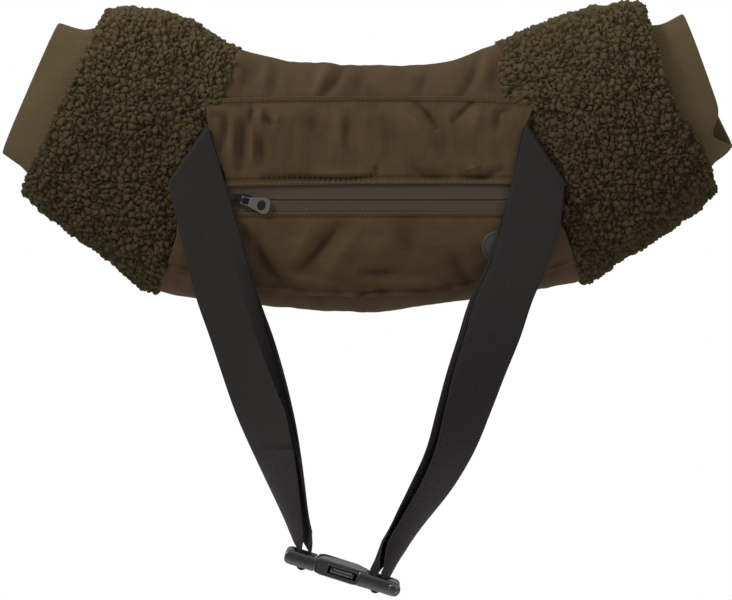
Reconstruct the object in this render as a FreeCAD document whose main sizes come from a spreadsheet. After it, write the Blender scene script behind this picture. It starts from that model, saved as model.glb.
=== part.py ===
import FreeCAD, Part
import math
import os

V = FreeCAD.Vector

# ---------------------------------------------------------------------------
# Hand warmer muff: a padded woven tube with a fleece cuff and a rib-knit cuff
# at each end, a zipped pocket and a webbing tunnel on its front, and a waist
# belt of 40 mm webbing closed by a side-release buckle.
#
# Frame: millimetres, +Z up, +X along the muff, the front faces -Y.
# The origin is the middle of the hand tunnel.
# ---------------------------------------------------------------------------

doc = FreeCAD.newDocument("hand_warmer_muff")
sheet = doc.addObject("Spreadsheet::Sheet", "Sizes")
_row = [0]


def size(alias, value):
    _row[0] += 1
    name = "A%d" % _row[0]
    note = "B%d" % _row[0]
    sheet.set(name, str(value))
    sheet.setAlias(name, alias)
    sheet.set(note, alias)


def get(alias):
    return float(sheet.get(alias))


# --- driving sizes ---------------------------------------------------------
size("shell_wall", 1.0)
size("lining_wall", 3.0)
size("fleece_wall", 7.0)
size("rib_wall", 2.5)
size("layer_gap", 0.3)
size("back_plane", 31.0)
size("section_power", 2.4)
size("web_wide", 40.0)
size("web_thick", 1.4)
size("panel_thick", 0.8)
size("panel_lift", 5.0)
size("web_one_lift", 1.6)
size("web_two_lift", 3.3)
# slider
size("slider_length", 12.0)
size("slider_wide", 8.6)
size("slider_wing", 1.1)
size("slider_nose_wide", 5.2)
size("slider_bridge_length", 3.4)
size("slider_bridge_wide", 1.6)
size("slider_bail_thick", 1.2)
# puller
size("puller_length", 20.0)
size("puller_wide_end", 11.6)
size("puller_wide_root", 5.8)
size("puller_thick", 1.2)
size("puller_hole_wide", 5.6)
size("puller_hole_long", 8.4)
# badge
size("badge_radius", 10.7)
# buckle
size("buckle_length", 83.0)
size("buckle_wide", 50.0)
size("buckle_thick", 10.4)
size("buckle_bar", 8.6)
size("buckle_mid_bar", 4.2)
size("buckle_wall", 1.9)
size("buckle_tilt", 17.5)
size("slot_wide", 42.0)

# --- stations of the tube: centre x, centre z, half height, tilt, half depth
STATIONS = [
    # name,       x,      z,     half,  tilt, depth
    ("ribL_end", -235.6, 70.7, 50.3, 23.4, 17.0),
    ("ribL_mid", -222.3, 64.8, 52.8, 25.6, 18.5),
    ("ribL_root", -208.6, 60.6, 59.0, 25.0, 20.0),
    ("furL_end", -208.6, 60.6, 69.0, 25.0, 28.0),
    ("furL_far", -195.0, 55.0, 77.8, 23.2, 34.0),
    ("furL_mid", -161.7, 39.9, 85.8, 21.5, 35.5),
    ("seamL", -119.0, 13.0, 89.8, 18.6, 33.4),
    ("midL", -60.0, 3.8, 86.6, 8.0, 33.0),
    ("centre", 0.0, 0.0, 86.8, 0.0, 33.0),
    ("midR", 62.0, 5.6, 83.5, -8.3, 33.0),
    ("seamR", 123.6, 18.9, 88.5, -19.7, 33.4),
    ("furR_mid", 165.6, 40.3, 85.5, -20.4, 35.5),
    ("furR_far", 200.6, 55.7, 78.2, -20.6, 34.0),
    ("furR_end", 217.6, 62.8, 68.4, -22.7, 28.0),
    ("ribR_root", 217.6, 62.8, 55.8, -22.7, 20.0),
    ("ribR_mid", 227.9, 68.6, 51.4, -22.0, 18.5),
    ("ribR_end", 238.7, 78.4, 47.6, -19.8, 17.0),
]
for nm, x, z, half, tilt, depth in STATIONS:
    size(nm + "_x", x)
    size(nm + "_z", z)
    size(nm + "_half", half)
    size(nm + "_tilt", tilt)
    size(nm + "_depth", depth)
# hand tunnel: half height and half depth inside the lining
for nm, half, depth in [
    ("ribL_end", 47.8, 14.5), ("ribL_root", 56.2, 17.2), ("furL_far", 61.0, 17.0),
    ("furL_mid", 67.0, 17.5), ("seamL", 70.0, 18.0), ("centre", 70.0, 18.0),
    ("seamR", 70.0, 18.0), ("furR_mid", 67.0, 17.5), ("furR_far", 60.0, 17.0),
    ("ribR_root", 53.0, 17.2), ("ribR_end", 45.1, 14.5),
]:
    size(nm + "_in_half", half)
    size(nm + "_in_depth", depth)
doc.recompute()

GAP = get("layer_gap")
POWER = get("section_power")
made = []


def piece(label, shape):
    """A closed solid whose form no primitive or sketch gives."""
    obj = doc.addObject("Part::Feature", label)
    obj.Label = label
    obj.Shape = shape
    obj.Placement = FreeCAD.Placement()
    made.append(obj)
    return obj


# --- curves through the stations ------------------------------------------
def hermite(xs, ys, x):
    """Smooth curve through points, no overshoot (limited slopes)."""
    n = len(xs)
    d = [(ys[i + 1] - ys[i]) / (xs[i + 1] - xs[i]) for i in range(n - 1)]
    m = [d[0]] + [0.0] * (n - 2) + [d[-1]]
    for i in range(1, n - 1):
        if d[i - 1] * d[i] <= 0:
            m[i] = 0.0
        else:
            m[i] = 2 * d[i - 1] * d[i] / (d[i - 1] + d[i])
    k = 0
    while k < n - 2 and x > xs[k + 1]:
        k += 1
    hgt = xs[k + 1] - xs[k]
    u = (x - xs[k]) / hgt
    return (
        (2 * u ** 3 - 3 * u ** 2 + 1) * ys[k]
        + (u ** 3 - 2 * u ** 2 + u) * hgt * m[k]
        + (-2 * u ** 3 + 3 * u ** 2) * ys[k + 1]
        + (u ** 3 - u ** 2) * hgt * m[k + 1]
    )


def rail(names, key):
    return [get(nm + key) for nm in names]


BODY = ["furL_end", "furL_far", "furL_mid", "seamL", "midL", "centre", "midR",
        "seamR", "furR_mid", "furR_far", "furR_end"]
INNER = ["ribL_root", "furL_far", "furL_mid", "seamL", "centre", "seamR",
         "furR_mid", "furR_far", "ribR_root"]


def station(x):
    """Centre height, tilt, outer half height and outer half depth at x."""
    xs = rail(BODY, "_x")
    return (
        hermite(xs, rail(BODY, "_z"), x),
        hermite(xs, rail(BODY, "_tilt"), x),
        hermite(xs, rail(BODY, "_half"), x),
        hermite(xs, rail(BODY, "_depth"), x),
    )


def inner(x):
    xs = rail(INNER, "_x")
    return (
        hermite(xs, rail(INNER, "_in_half"), x),
        hermite(xs, rail(INNER, "_in_depth"), x),
    )


def section(x, z, tilt, half, depth, count=36):
    """Closed flattened oval in the plane across the tube."""
    s, c = math.sin(math.radians(tilt)), math.cos(math.radians(tilt))
    pts = []
    for i in range(count):
        t = 2 * math.pi * (i + 0.5) / count
        u = half * math.copysign(abs(math.cos(t)) ** (2 / POWER), math.cos(t))
        v = depth * math.copysign(abs(math.sin(t)) ** (2 / POWER), math.sin(t))
        pts.append(V(x + u * s, -v, z + u * c))
    curve = Part.BSplineCurve()
    curve.interpolate(Points=pts, PeriodicFlag=True)
    return Part.Wire([curve.toShape()])


def loft(rows):
    solid = Part.makeLoft([section(*r) for r in rows], True, False)
    if solid.Volume < 0:
        solid.reverse()
    return solid


def spread(lo, hi, step=16.0):
    n = max(2, int(math.ceil((hi - lo) / step)))
    return [lo + (hi - lo) * i / n for i in range(n + 1)]


def outer_rows(xs, grow_half=0.0, grow_depth=0.0):
    rows = []
    for x in xs:
        z, tilt, half, depth = station(x)
        rows.append((x, z, tilt, half + grow_half, depth + grow_depth))
    return rows


def inner_rows(xs, grow=0.0):
    rows = []
    for x in xs:
        z, tilt, _, _ = station(x)
        half, depth = inner(x)
        rows.append((x, z, tilt, half + grow, depth + grow))
    return rows


def longer(rows, by=4.0):
    """The same tube, run past both ends, for cutting."""
    out = list(rows)
    for end, nxt, at in ((0, 1, 0), (-1, -2, len(out) + 1)):
        a, b = rows[end], rows[nxt]
        length = math.hypot(a[0] - b[0], a[1] - b[1])
        k = by / length
        r = tuple(a[i] + (a[i] - b[i]) * k for i in range(5))
        if end == 0:
            out.insert(0, r)
        else:
            out.append(r)
    return out


def flat_back(shape, lift=0.0):
    """Keep what lies in front of the flat back."""
    yb = get("back_plane") - lift
    return shape.common(Part.makeBox(800, 400, 800, V(-400, yb - 400, -400)))


def prism(outline, y0, y1):
    """Outline in X and Z, made solid between two depths."""
    pts = [V(x, y0, z) for x, z in outline]
    face = Part.Face(Part.makePolygon(pts + [pts[0]]))
    return face.extrude(V(0, y1 - y0, 0))


def one(shape):
    """The one solid of a result, cleaned."""
    solids = shape.Solids
    if len(solids) != 1:
        raise RuntimeError("expected one solid, got %d" % len(solids))
    return solids[0]


# ---------------------------------------------------------------------------
# The tube: shell, wadding, lining, fleece cuffs, rib cuffs
# ---------------------------------------------------------------------------
WALL = get("shell_wall")
LIN = get("lining_wall")
xL, xR = get("seamL_x"), get("seamR_x")
eL, eR = get("furL_end_x"), get("furR_end_x")

body_xs = spread(xL, xR)
shell_rows = outer_rows(body_xs)
shell_out = flat_back(loft(shell_rows))
shell_in = flat_back(loft(longer(outer_rows(body_xs, -WALL, -WALL))), WALL)
shell = shell_out.cut(shell_in)
# front and back halves, sewn together along the top and the bottom
HALF_GAP = 0.05
piece("shell_front", one(shell.common(Part.makeBox(800, 400, 800, V(-400, -400 - HALF_GAP, -400)))))
piece("shell_back", one(shell.common(Part.makeBox(800, 400, 800, V(-400, HALF_GAP, -400)))))

wad_out = flat_back(loft(outer_rows(body_xs, -WALL - GAP, -WALL - GAP)), WALL + GAP)
wad_in = loft(longer(inner_rows(body_xs, LIN + GAP)))
piece("wadding_centre", one(wad_out.cut(wad_in)))

# the lining is a tube of three lengths, sewn to each other at the seams
for side, xs in (("left", spread(eL, xL)), ("centre", body_xs), ("right", spread(xR, eR))):
    lining_out = loft(inner_rows(xs, LIN))
    lining_in = loft(longer(inner_rows(xs, 0.0)))
    piece("lining_" + side, one(lining_out.cut(lining_in)))

FUR = get("fleece_wall")


def end_face(nm):
    return (get(nm + "_x"), get(nm + "_z"), get(nm + "_tilt"))


def fur(side, x_seam, x_end):
    xs = spread(min(x_seam, x_end), max(x_seam, x_end), 14.0)
    rows = []
    cut = []
    for x in xs:
        z, tilt, half, depth = station(x)
        k = abs(x - x_seam) / abs(x_end - x_seam)
        half_in, depth_in = inner(x)
        rows.append((x, z, tilt, half + 1.5, depth + 0.6))
        # the fleece turns in at its far end to meet the rib cuff
        wall = FUR
        hi = max(half_in + LIN + 3 * GAP, half + 1.5 - wall)
        di = max(depth_in + LIN + 3 * GAP, depth + 0.6 - wall)
        if k > 0.85:
            f = (k - 0.85) / 0.15
            hi = hi + f * (half_in + LIN + GAP + 0.6 - hi)
            di = di + f * (depth_in + LIN + GAP + 0.6 - di)
        cut.append((x, z, tilt, hi, di))
    out = flat_back(loft(rows))
    hole = flat_back(loft(longer(cut)), FUR - 3.0)
    piece("fleece_cuff_" + side, one(out.cut(hole)))
    # loose wadding between the fleece and the lining
    part_xs = [x for x in xs if abs(x - x_seam) / abs(x_end - x_seam) < 0.9]
    w_out = [r for r, x in zip(cut, xs) if x in part_xs]
    w_out = [(r[0], r[1], r[2], r[3] - GAP - 0.6, r[4] - GAP - 0.6) for r in w_out]
    w_in = inner_rows(part_xs, LIN + GAP + 0.6)
    pad = flat_back(loft(w_out), FUR - 3.0 + GAP + 0.6).cut(loft(longer(w_in)))
    piece("wadding_" + side, one(pad))


fur("left", xL, eL)
fur("right", xR, eR)


def rib(side, root, mid, tip):
    rows = []
    for nm in (root, mid, tip):
        rows.append((get(nm + "_x"), get(nm + "_z"), get(nm + "_tilt"),
                     get(nm + "_half"), get(nm + "_depth")))
    w = get("rib_wall")
    ins = [(r[0], r[1], r[2], r[3] - w, r[4] - w) for r in rows]
    if rows[0][0] > rows[-1][0]:
        rows, ins = rows[::-1], ins[::-1]
    piece("rib_cuff_" + side, one(loft(rows).cut(loft(longer(ins)))))


rib("left", "ribL_root", "ribL_mid", "ribL_end")
rib("right", "ribR_root", "ribR_mid", "ribR_end")

# ---------------------------------------------------------------------------
# The front: webbing tunnel panel, pocket panel, pocket bag, zip
# ---------------------------------------------------------------------------
LIFT = get("panel_lift")
PT = get("panel_thick")
wide_xs = spread(-150.0, 154.0, 16.0)


def body_front_rows(xs, grow):
    """The woven body carried on past its seams, for the front layers."""
    rows = []
    for x in xs:
        z, tilt, half, depth = station(x)
        rows.append((x, z, tilt, half + 0.3 + 0.05 * grow, 33.2 + grow))
    return rows


_skins = {}


def skin(lift, past):
    key = (round(lift, 4), past)
    if key not in _skins:
        _skins[key] = loft(longer(body_front_rows(wide_xs, lift), past))
    return _skins[key]


def layer(lift, thick, outline, y_far=-70.0):
    block = prism(outline, -4.0, y_far)
    return skin(lift + thick, 4.0).common(block).cut(skin(lift, 8.0))


UPPER = [(-112.7, 62.2), (-109.9, 42.0), (-104.5, 24.0), (-98.7, 9.0), (-98.0, -0.5),
         (104.0, -0.5), (106.0, 18.0), (110.6, 42.0), (119.7, 61.8), (60.0, 64.2),
         (0.0, 64.6), (-60.0, 64.0)]
upper = layer(LIFT, PT, UPPER)
piece("front_panel_upper", one(upper))

# pocket panel: from the zip down to the hem seam
LOWER = [(-130.0, -17.5), (118.0, -17.5), (139.0, -30.0), (147.0, -52.0),
         (120.0, -62.0), (76.0, -69.0), (40.0, -74.5), (0.0, -76.3), (-40.0, -75.0),
         (-74.0, -70.7), (-110.0, -64.0), (-139.0, -56.0), (-132.0, -34.0)]
lower = layer(LIFT, PT, LOWER)
piece("front_panel_lower", one(lower))

BAG = [(-96.0, -27.0), (96.0, -27.0), (94.0, -58.0), (40.0, -66.0), (0.0, -67.5),
       (-40.0, -66.5), (-94.0, -58.0)]
BAG_IN = [(-94.8, -20.0), (94.8, -20.0), (92.6, -56.8), (40.0, -64.7), (0.0, -66.2),
          (-40.0, -65.2), (-92.6, -56.8)]
bag = layer(0.6, 4.0, BAG).cut(layer(1.5, 2.2, BAG_IN))
piece("pocket_bag", one(bag))

# zip tapes and coils lie flat
TAPE_Y0, TAPE_Y1 = -37.8, -37.2


def slab(x0, x1, y0, y1, z0, z1):
    return Part.makeBox(x1 - x0, y1 - y0, z1 - z0, V(x0, y0, z0))


def boxed(label, x0, x1, y0, y1, z0, z1):
    obj = doc.addObject("Part::Box", label)
    obj.Label = label
    names = ("Length", "Width", "Height")
    for prop, key, val in zip(names, ("_long", "_deep", "_high"),
                              (x1 - x0, y1 - y0, z1 - z0)):
        size(label + key, round(val, 4))
    sheet.recompute()
    for prop, key in zip(names, ("_long", "_deep", "_high")):
        obj.setExpression(prop, "Sizes." + label + key)
    obj.Placement = FreeCAD.Placement(V(x0, y0, z0), FreeCAD.Rotation())
    made.append(obj)
    return obj


boxed("zip_tape_upper", -97.5, 103.0, TAPE_Y0, TAPE_Y1, -8.5, 0.6)
boxed("zip_tape_lower", -97.5, 103.0, TAPE_Y0, TAPE_Y1, -17.35, -9.0)
boxed("zip_coil_upper", -93.0, 100.5, -36.9, -35.5, -8.5, -6.4)
boxed("zip_coil_lower", -93.0, 100.5, -36.9, -35.5, -11.1, -9.0)
boxed("zip_stop_left", -96.4, -93.6, -36.9, -35.5, -11.1, -6.4)
boxed("zip_stop_right", 100.8, 102.8, -36.9, -35.5, -11.1, -6.4)

# rubber badge on the pocket panel, partly under the right strap
disc = layer(LIFT + PT + 0.1, 1.5, [
    (91.4 + get("badge_radius") * math.cos(math.radians(a)),
     -41.0 + get("badge_radius") * math.sin(math.radians(a)))
    for a in range(0, 360, 6)])
piece("rubber_badge", one(disc))


# ---------------------------------------------------------------------------
# Sketched bodies: slider, puller, buckle
# ---------------------------------------------------------------------------
def body(label):
    b = doc.addObject("PartDesign::Body", label)
    b.Label = label
    made.append(b)
    return b


def plane_of(b, role):
    for f in b.Origin.OriginFeatures:
        if f.Role == role:
            return f
    raise RuntimeError(role)


def sketch(b, name, role, loops, offset=0.0):
    """Closed loops of straight runs, on one of the body's origin planes."""
    sk = b.newObject("Sketcher::SketchObject", name)
    sk.AttachmentSupport = [(plane_of(b, role), "")]
    sk.MapMode = "FlatFace"
    if offset:
        sk.AttachmentOffset = FreeCAD.Placement(V(0, 0, offset), FreeCAD.Rotation())
    for pts in loops:
        n = len(pts)
        for i in range(n):
            a, c = pts[i], pts[(i + 1) % n]
            sk.addGeometry(Part.LineSegment(V(a[0], a[1], 0), V(c[0], c[1], 0)), False)
    return sk


def pad(b, sk, length_alias=None, length=None, mid=False, rev=False, name="Pad"):
    p = b.newObject("PartDesign::Pad", name)
    p.Profile = sk
    if length_alias:
        p.setExpression("Length", "Sizes." + length_alias)
    else:
        p.Length = length
    p.Midplane = mid
    p.Reversed = rev
    doc.recompute()
    return p


def pocket(b, sk, length, mid=False, rev=False, name="Pocket"):
    before = b.Shape.Volume
    p = b.newObject("PartDesign::Pocket", name)
    p.Profile = sk
    p.Length = length
    p.Midplane = mid
    p.Reversed = rev
    doc.recompute()
    if not b.Shape.Volume < before - 1e-3:
        raise RuntimeError("pocket %s of %s cuts nothing" % (name, b.Label))
    return p


def ring(cx, cz, rx, rz, n=28):
    return [(cx + rx * math.cos(2 * math.pi * i / n), cz + rz * math.sin(2 * math.pi * i / n))
            for i in range(n)]


# zip slider: two wings, a bridge between them and a bail for the puller.
# Its own X is along the zip, its own Z is up, its own Y faces back.
SL, SW, SN = get("slider_length"), get("slider_wide"), get("slider_nose_wide")
WING = get("slider_wing")
SLX, SLZ = -85.6, -8.75
TOP_Y = -38.0          # back of the front wing
BOT_Y = -35.3          # front of the back wing
slider = body("zip_slider")
outline = [(-SL / 2, -SW / 2), (SL * 0.12, -SW / 2), (SL / 2, -SN / 2), (SL / 2, SN / 2),
           (SL * 0.12, SW / 2), (-SL / 2, SW / 2)]
# sketches on XZ_Plane: sketch x is body x, sketch y is body z, normal is -Y
pad(slider, sketch(slider, "WingFront", "XZ_Plane", [outline], -TOP_Y), "slider_wing", name="WingFrontPad")
pad(slider, sketch(slider, "Bridge", "XZ_Plane", [[
    (SL / 2 - get("slider_bridge_length"), -0.2), (SL / 2, -0.2), (SL / 2, 0.2),
    (SL / 2 - get("slider_bridge_length"), 0.2)]], -BOT_Y - 0.2),
    length=-TOP_Y + BOT_Y + 0.4, name="BridgePad")
pad(slider, sketch(slider, "WingBack", "XZ_Plane", [outline], -BOT_Y - WING), "slider_wing", name="WingBackPad")
# bail on the front wing: an arch that the puller's root passes under
bail = get("slider_bail_thick")
arch = [(-TOP_Y + WING - 0.2, -4.6), (-TOP_Y + WING + 3.4, -4.6), (-TOP_Y + WING + 4.3, -3.7),
        (-TOP_Y + WING + 4.3, 1.7), (-TOP_Y + WING + 3.4, 2.6), (-TOP_Y + WING - 0.2, 2.6),
        (-TOP_Y + WING - 0.2, 1.4), (-TOP_Y + WING + 2.6, 1.4), (-TOP_Y + WING + 3.1, 0.9),
        (-TOP_Y + WING + 3.1, -2.9), (-TOP_Y + WING + 2.6, -3.4), (-TOP_Y + WING - 0.2, -3.4)]
# on XY_Plane: sketch x is body x, sketch y is body y
pad(slider, sketch(slider, "Bail", "XY_Plane", [[(q, -p) for p, q in arch]]),
    length=2.0, mid=True, name="BailPad")
slider.Placement = FreeCAD.Placement(V(SLX, 0, SLZ), FreeCAD.Rotation())

# zip puller: flat trapezoid with an oval hole and a cross bar at its root.
# Its own X is its length, its own Z its width, turned about Y to droop.
puller = body("zip_puller")
PL, PR, PE = get("puller_length"), get("puller_wide_root"), get("puller_wide_end")
plate = [(-1.0, -PR / 2), (3.6, -PR / 2), (PL - 4.0, -PE / 2), (PL - 1.4, -PE / 2 + 0.9),
         (PL - 0.2, -PE / 2 + 3.0), (PL - 0.2, PE / 2 - 3.0), (PL - 1.4, PE / 2 - 0.9),
         (PL - 4.0, PE / 2), (3.6, PR / 2), (-1.0, PR / 2)]
pad(puller, sketch(puller, "Plate", "XZ_Plane", [plate]), "puller_thick", name="PlatePad")
pocket(puller, sketch(puller, "RingHole", "XZ_Plane", [ring(PL - 6.0, 0, get("puller_hole_wide") / 2 - 0.2 + 0.4, get("puller_hole_long") / 2 - 0.4)]),
       8.0, mid=True, name="RingHolePocket")
pocket(puller, sketch(puller, "RootHole", "XZ_Plane", [[(0.6, -2.15), (4.8, -2.15), (4.8, 2.15), (0.6, 2.15)]]),
       8.0, mid=True, name="RootHolePocket")
# root cross bar sits inside the bail: x from -1.0 to 0.6
PUX, PUY = SLX + -0.7, TOP_Y - WING - 0.9
puller.Placement = FreeCAD.Placement(V(PUX, PUY, SLZ), FreeCAD.Rotation(V(0, 1, 0), 15.0))

# ---------------------------------------------------------------------------
# Side-release buckle, seen on edge. Its own X runs along its length from the
# male end, its own Y is its thickness, its own Z is its width.
# ---------------------------------------------------------------------------
TILT = get("buckle_tilt")
BL, BW, BT = get("buckle_length"), get("buckle_wide"), get("buckle_thick")
BCX, BCY, BCZ = -16.3, -46.5, -267.0
# own X -> (cos, 0, -sin); own Y -> thickness, (sin, 0, cos); own Z -> -Y or +Y
ct, st = math.cos(math.radians(TILT)), math.sin(math.radians(TILT))
mat = FreeCAD.Matrix(ct, st, 0, BCX - BL / 2 * ct,
                     0, 0, -1, BCY,
                     -st, ct, 0, BCZ + BL / 2 * st,
                     0, 0, 0, 1)
BUCKLE = FreeCAD.Placement(mat)
HW = BW / 2
SLOT = get("slot_wide") / 2
HT = BT / 2

# male half: two bars and two slots for the webbing, a root block and a
# central tongue; the two arms are pieces of their own, hinged at the root
male = body("buckle_male")
# XY_Plane: sketch x along, y thickness, normal is the width
pad(male, sketch(male, "MaleSide", "XY_Plane", [[
    (0.0, -2.4), (0.9, -3.9), (2.6, -4.3), (5.0, -3.6), (6.3, -2.6), (10.9, -2.3), (15.1, -2.6),
    (19.7, -3.4), (21.6, -4.6), (21.6, 4.6), (19.7, 3.6), (15.1, 2.6), (10.9, 2.3),
    (6.3, 2.6), (5.0, 3.6), (2.6, 4.3), (0.9, 3.9), (0.0, 2.4)]]), "buckle_wide", mid=True, name="MalePad")
# slots through the thickness, drawn looking along the thickness
# XZ_Plane: sketch x along, y width
pocket(male, sketch(male, "MaleSlots", "XZ_Plane", [
    [(6.3, -SLOT), (10.9, -SLOT), (10.9, SLOT), (6.3, SLOT)],
    [(15.1, -SLOT), (19.7, -SLOT), (19.7, SLOT), (15.1, SLOT)]]), 30.0, mid=True, name="MaleSlotPocket")
# tongue and two arm roots
pad(male, sketch(male, "Tongue", "XZ_Plane", [[(21.0, -3.2), (47.0, -2.4), (48.5, -1.0),
    (48.5, 1.0), (47.0, 2.4), (21.0, 3.2)]]), length=3.6, mid=True, name="TonguePad")
male.Placement = BUCKLE


def arm(label, sign):
    b = body(label)
    pts = [(21.9, 14.4), (24.5, 14.4), (31.0, 16.6), (47.5, 18.4), (51.5, 20.6), (50.2, 22.4),
           (44.0, 22.5), (34.0, 21.6), (28.0, 19.4), (21.9, 18.6)]
    pts = [(x, sign * y) for x, y in pts]
    pad(b, sketch(b, "ArmOutline", "XZ_Plane", [pts]), length=6.2, mid=True, name="ArmPad")
    b.Placement = BUCKLE
    return b


arm("buckle_arm_front", 1)
arm("buckle_arm_rear", -1)

# female half: a flat box open at its mouth, with side windows, a notch in
# each wide face, and two slots and a round bar at its far end
female = body("buckle_female")
BWALL = get("buckle_wall")
pad(female, sketch(female, "FemaleSide", "XY_Plane", [[
    (22.4, -4.7), (26.0, -HT), (50.0, -HT), (57.0, -4.4), (59.7, -3.2), (64.2, -2.5), (68.4, -2.5),
    (73.5, -3.0), (75.4, -3.9), (78.4, -4.5), (81.4, -3.6), (82.8, -1.6), (82.8, 1.6), (81.4, 3.6),
    (78.4, 4.5), (75.4, 3.9), (73.5, 3.0), (68.4, 2.5), (64.2, 2.5), (59.7, 3.2), (57.0, 4.4),
    (50.0, HT), (26.0, HT), (22.4, 4.7)]]), "buckle_wide", mid=True, name="FemalePad")
# the hollow, open at the mouth
pocket(female, sketch(female, "Hollow", "XY_Plane", [[
    (22.0, -3.3), (55.5, -3.3), (55.5, 3.3), (22.0, 3.3)]]), 2 * (HW - BWALL), mid=True, name="HollowPocket")
# side windows where the arms' catches show
pocket(female, sketch(female, "Windows", "XY_Plane", [[
    (31.0, -2.6), (51.5, -2.6), (51.5, 2.6), (31.0, 2.6)]]), 2 * HW + 4, mid=True, name="WindowPocket")
# notch in both wide faces at the mouth
pocket(female, sketch(female, "Notch", "XZ_Plane", [[
    (22.0, -13.0), (26.0, -12.0), (41.0, -3.2), (44.0, 0.0), (41.0, 3.2), (26.0, 12.0), (22.0, 13.0)]]),
       30.0, mid=True, name="NotchPocket")
pocket(female, sketch(female, "FemaleSlots", "XZ_Plane", [
    [(59.7, -SLOT), (64.2, -SLOT), (64.2, SLOT), (59.7, SLOT)],
    [(68.4, -SLOT), (73.5, -SLOT), (73.5, SLOT), (68.4, SLOT)]]), 30.0, mid=True, name="FemaleSlotPocket")
female.Placement = BUCKLE


def on_buckle(s, d):
    """Point at s along the buckle and d across its thickness, as x and z."""
    return (BCX + (s - BL / 2) * ct + d * st, BCZ - (s - BL / 2) * st + d * ct)


# ---------------------------------------------------------------------------
# Webbing. In the tunnel it lies as two layers; past each side of the panel it
# folds over on a diagonal and hangs down in front.
# ---------------------------------------------------------------------------
WT = get("web_thick")
W1, W2 = get("web_one_lift"), get("web_two_lift")
HANG_OUT = -43.6       # front of the outer hanging layer
HANG_IN = -41.8        # front of the inner hanging layer
Z_TOP, Z_BOT = 40.6, 1.4
Z_CUT = -3.0           # where the free strap begins


def tunnel_web(lift, x0a, x0b, x1a, x1b):
    """Webbing under the panel; its ends are cut on the slant of the folds."""
    return layer(lift, WT, [(x0a, Z_TOP), (x0b, Z_BOT), (x1b, Z_BOT), (x1a, Z_TOP)])


FOLD = {
    # side: apex, corner, and the two edges where the free strap begins
    "left": ((-109.9, 40.6), (-136.6, 1.4), (-136.2, Z_CUT), (-96.8, Z_CUT), (-98.2, 2.0)),
    "right": ((110.6, 42.0), (138.0, 1.0), (137.4, Z_CUT), (100.2, Z_CUT), (101.6, 2.0)),
}


def wall_between(p, q, y0, y1, inside, t):
    """Turned edge of the fold, a thin wall along the crease."""
    dx, dz = q[0] - p[0], q[1] - p[1]
    n = math.hypot(dx, dz)
    nx, nz = -dz / n * inside, dx / n * inside
    out = [(p[0], p[1]), (q[0], q[1]), (q[0] + nx * t, q[1] + nz * t), (p[0] + nx * t, p[1] + nz * t)]
    return prism(out, y0, y1)


def shift_line(p, q, by, inside):
    dx, dz = q[0] - p[0], q[1] - p[1]
    n = math.hypot(dx, dz)
    nx, nz = -dz / n * inside, dx / n * inside
    return (p[0] + nx * by, p[1] + nz * by), (q[0] + nx * by, q[1] + nz * by)


# tunnel webbing runs from crease to crease; the layer next the shell becomes
# the outer one after the fold
aL, cL = FOLD["left"][0], FOLD["left"][1]
aR, cR = FOLD["right"][0], FOLD["right"][1]
T = 1.9                 # the inner layer turns this much inside the outer one


def slant(p, q, z):
    k = (z - p[1]) / (q[1] - p[1])
    return p[0] + (q[0] - p[0]) * k


def web_piece(label, lift, hang_front, inset):
    parts = []
    ends = {}
    for side in ("left", "right"):
        apex, corner, low_out, low_in, mid_in = FOLD[side]
        inside = 1 if side == "left" else -1
        p, q = shift_line(apex, corner, inset, inside)
        ends[side] = (p, q)
        # hanging flap down to where the free strap begins
        flap = [(p[0] + (0.6 if side == "left" else -0.6), p[1] - 0.8), (q[0], q[1]),
                (low_out[0] + (inset if side == "left" else -inset), low_out[1]),
                low_in, mid_in]
        parts.append(prism(flap, hang_front, hang_front + WT))
        # the turned edge: from the flap's front to the tunnel layer's back
        y_back = -33.2 - lift + 0.15
        parts.append(wall_between((p[0], p[1] - 0.8), q, hang_front, y_back - 0.0, inside, 1.2))
    (pL, qL), (pR, qR) = ends["left"], ends["right"]
    run = layer(lift, WT, [
        (slant(pL, qL, Z_TOP - 0.2), Z_TOP - 0.2), (slant(pL, qL, Z_BOT), Z_BOT),
        (slant(pR, qR, Z_BOT), Z_BOT), (slant(pR, qR, Z_TOP - 0.2), Z_TOP - 0.2)])
    solid = run.fuse(parts)
    piece(label, one(solid.removeSplitter()))


web_piece("tunnel_web_outer", W1, HANG_OUT, 0.0)
web_piece("tunnel_web_inner", W2, HANG_IN, T)

# the upper panel's side edges are trimmed back round the turned webbing
trimmed = doc.getObject("front_panel_upper")
room = []
for side in ("left", "right"):
    apex, corner = FOLD[side][0], FOLD[side][1]
    inside = 1 if side == "left" else -1
    p, q = shift_line(apex, corner, T, inside)
    k = 4.0 * inside
    room.append(prism([(apex[0] - k, apex[1] + 1.2), (p[0] + 1.6 * inside, p[1] + 1.2),
                       (p[0] + 1.6 * inside, p[1] - 6.0), (apex[0] - k, apex[1] - 6.0)], -30.0, -60.0))
trimmed.Shape = one(trimmed.Shape.cut(room[0]).cut(room[1]))

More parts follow.
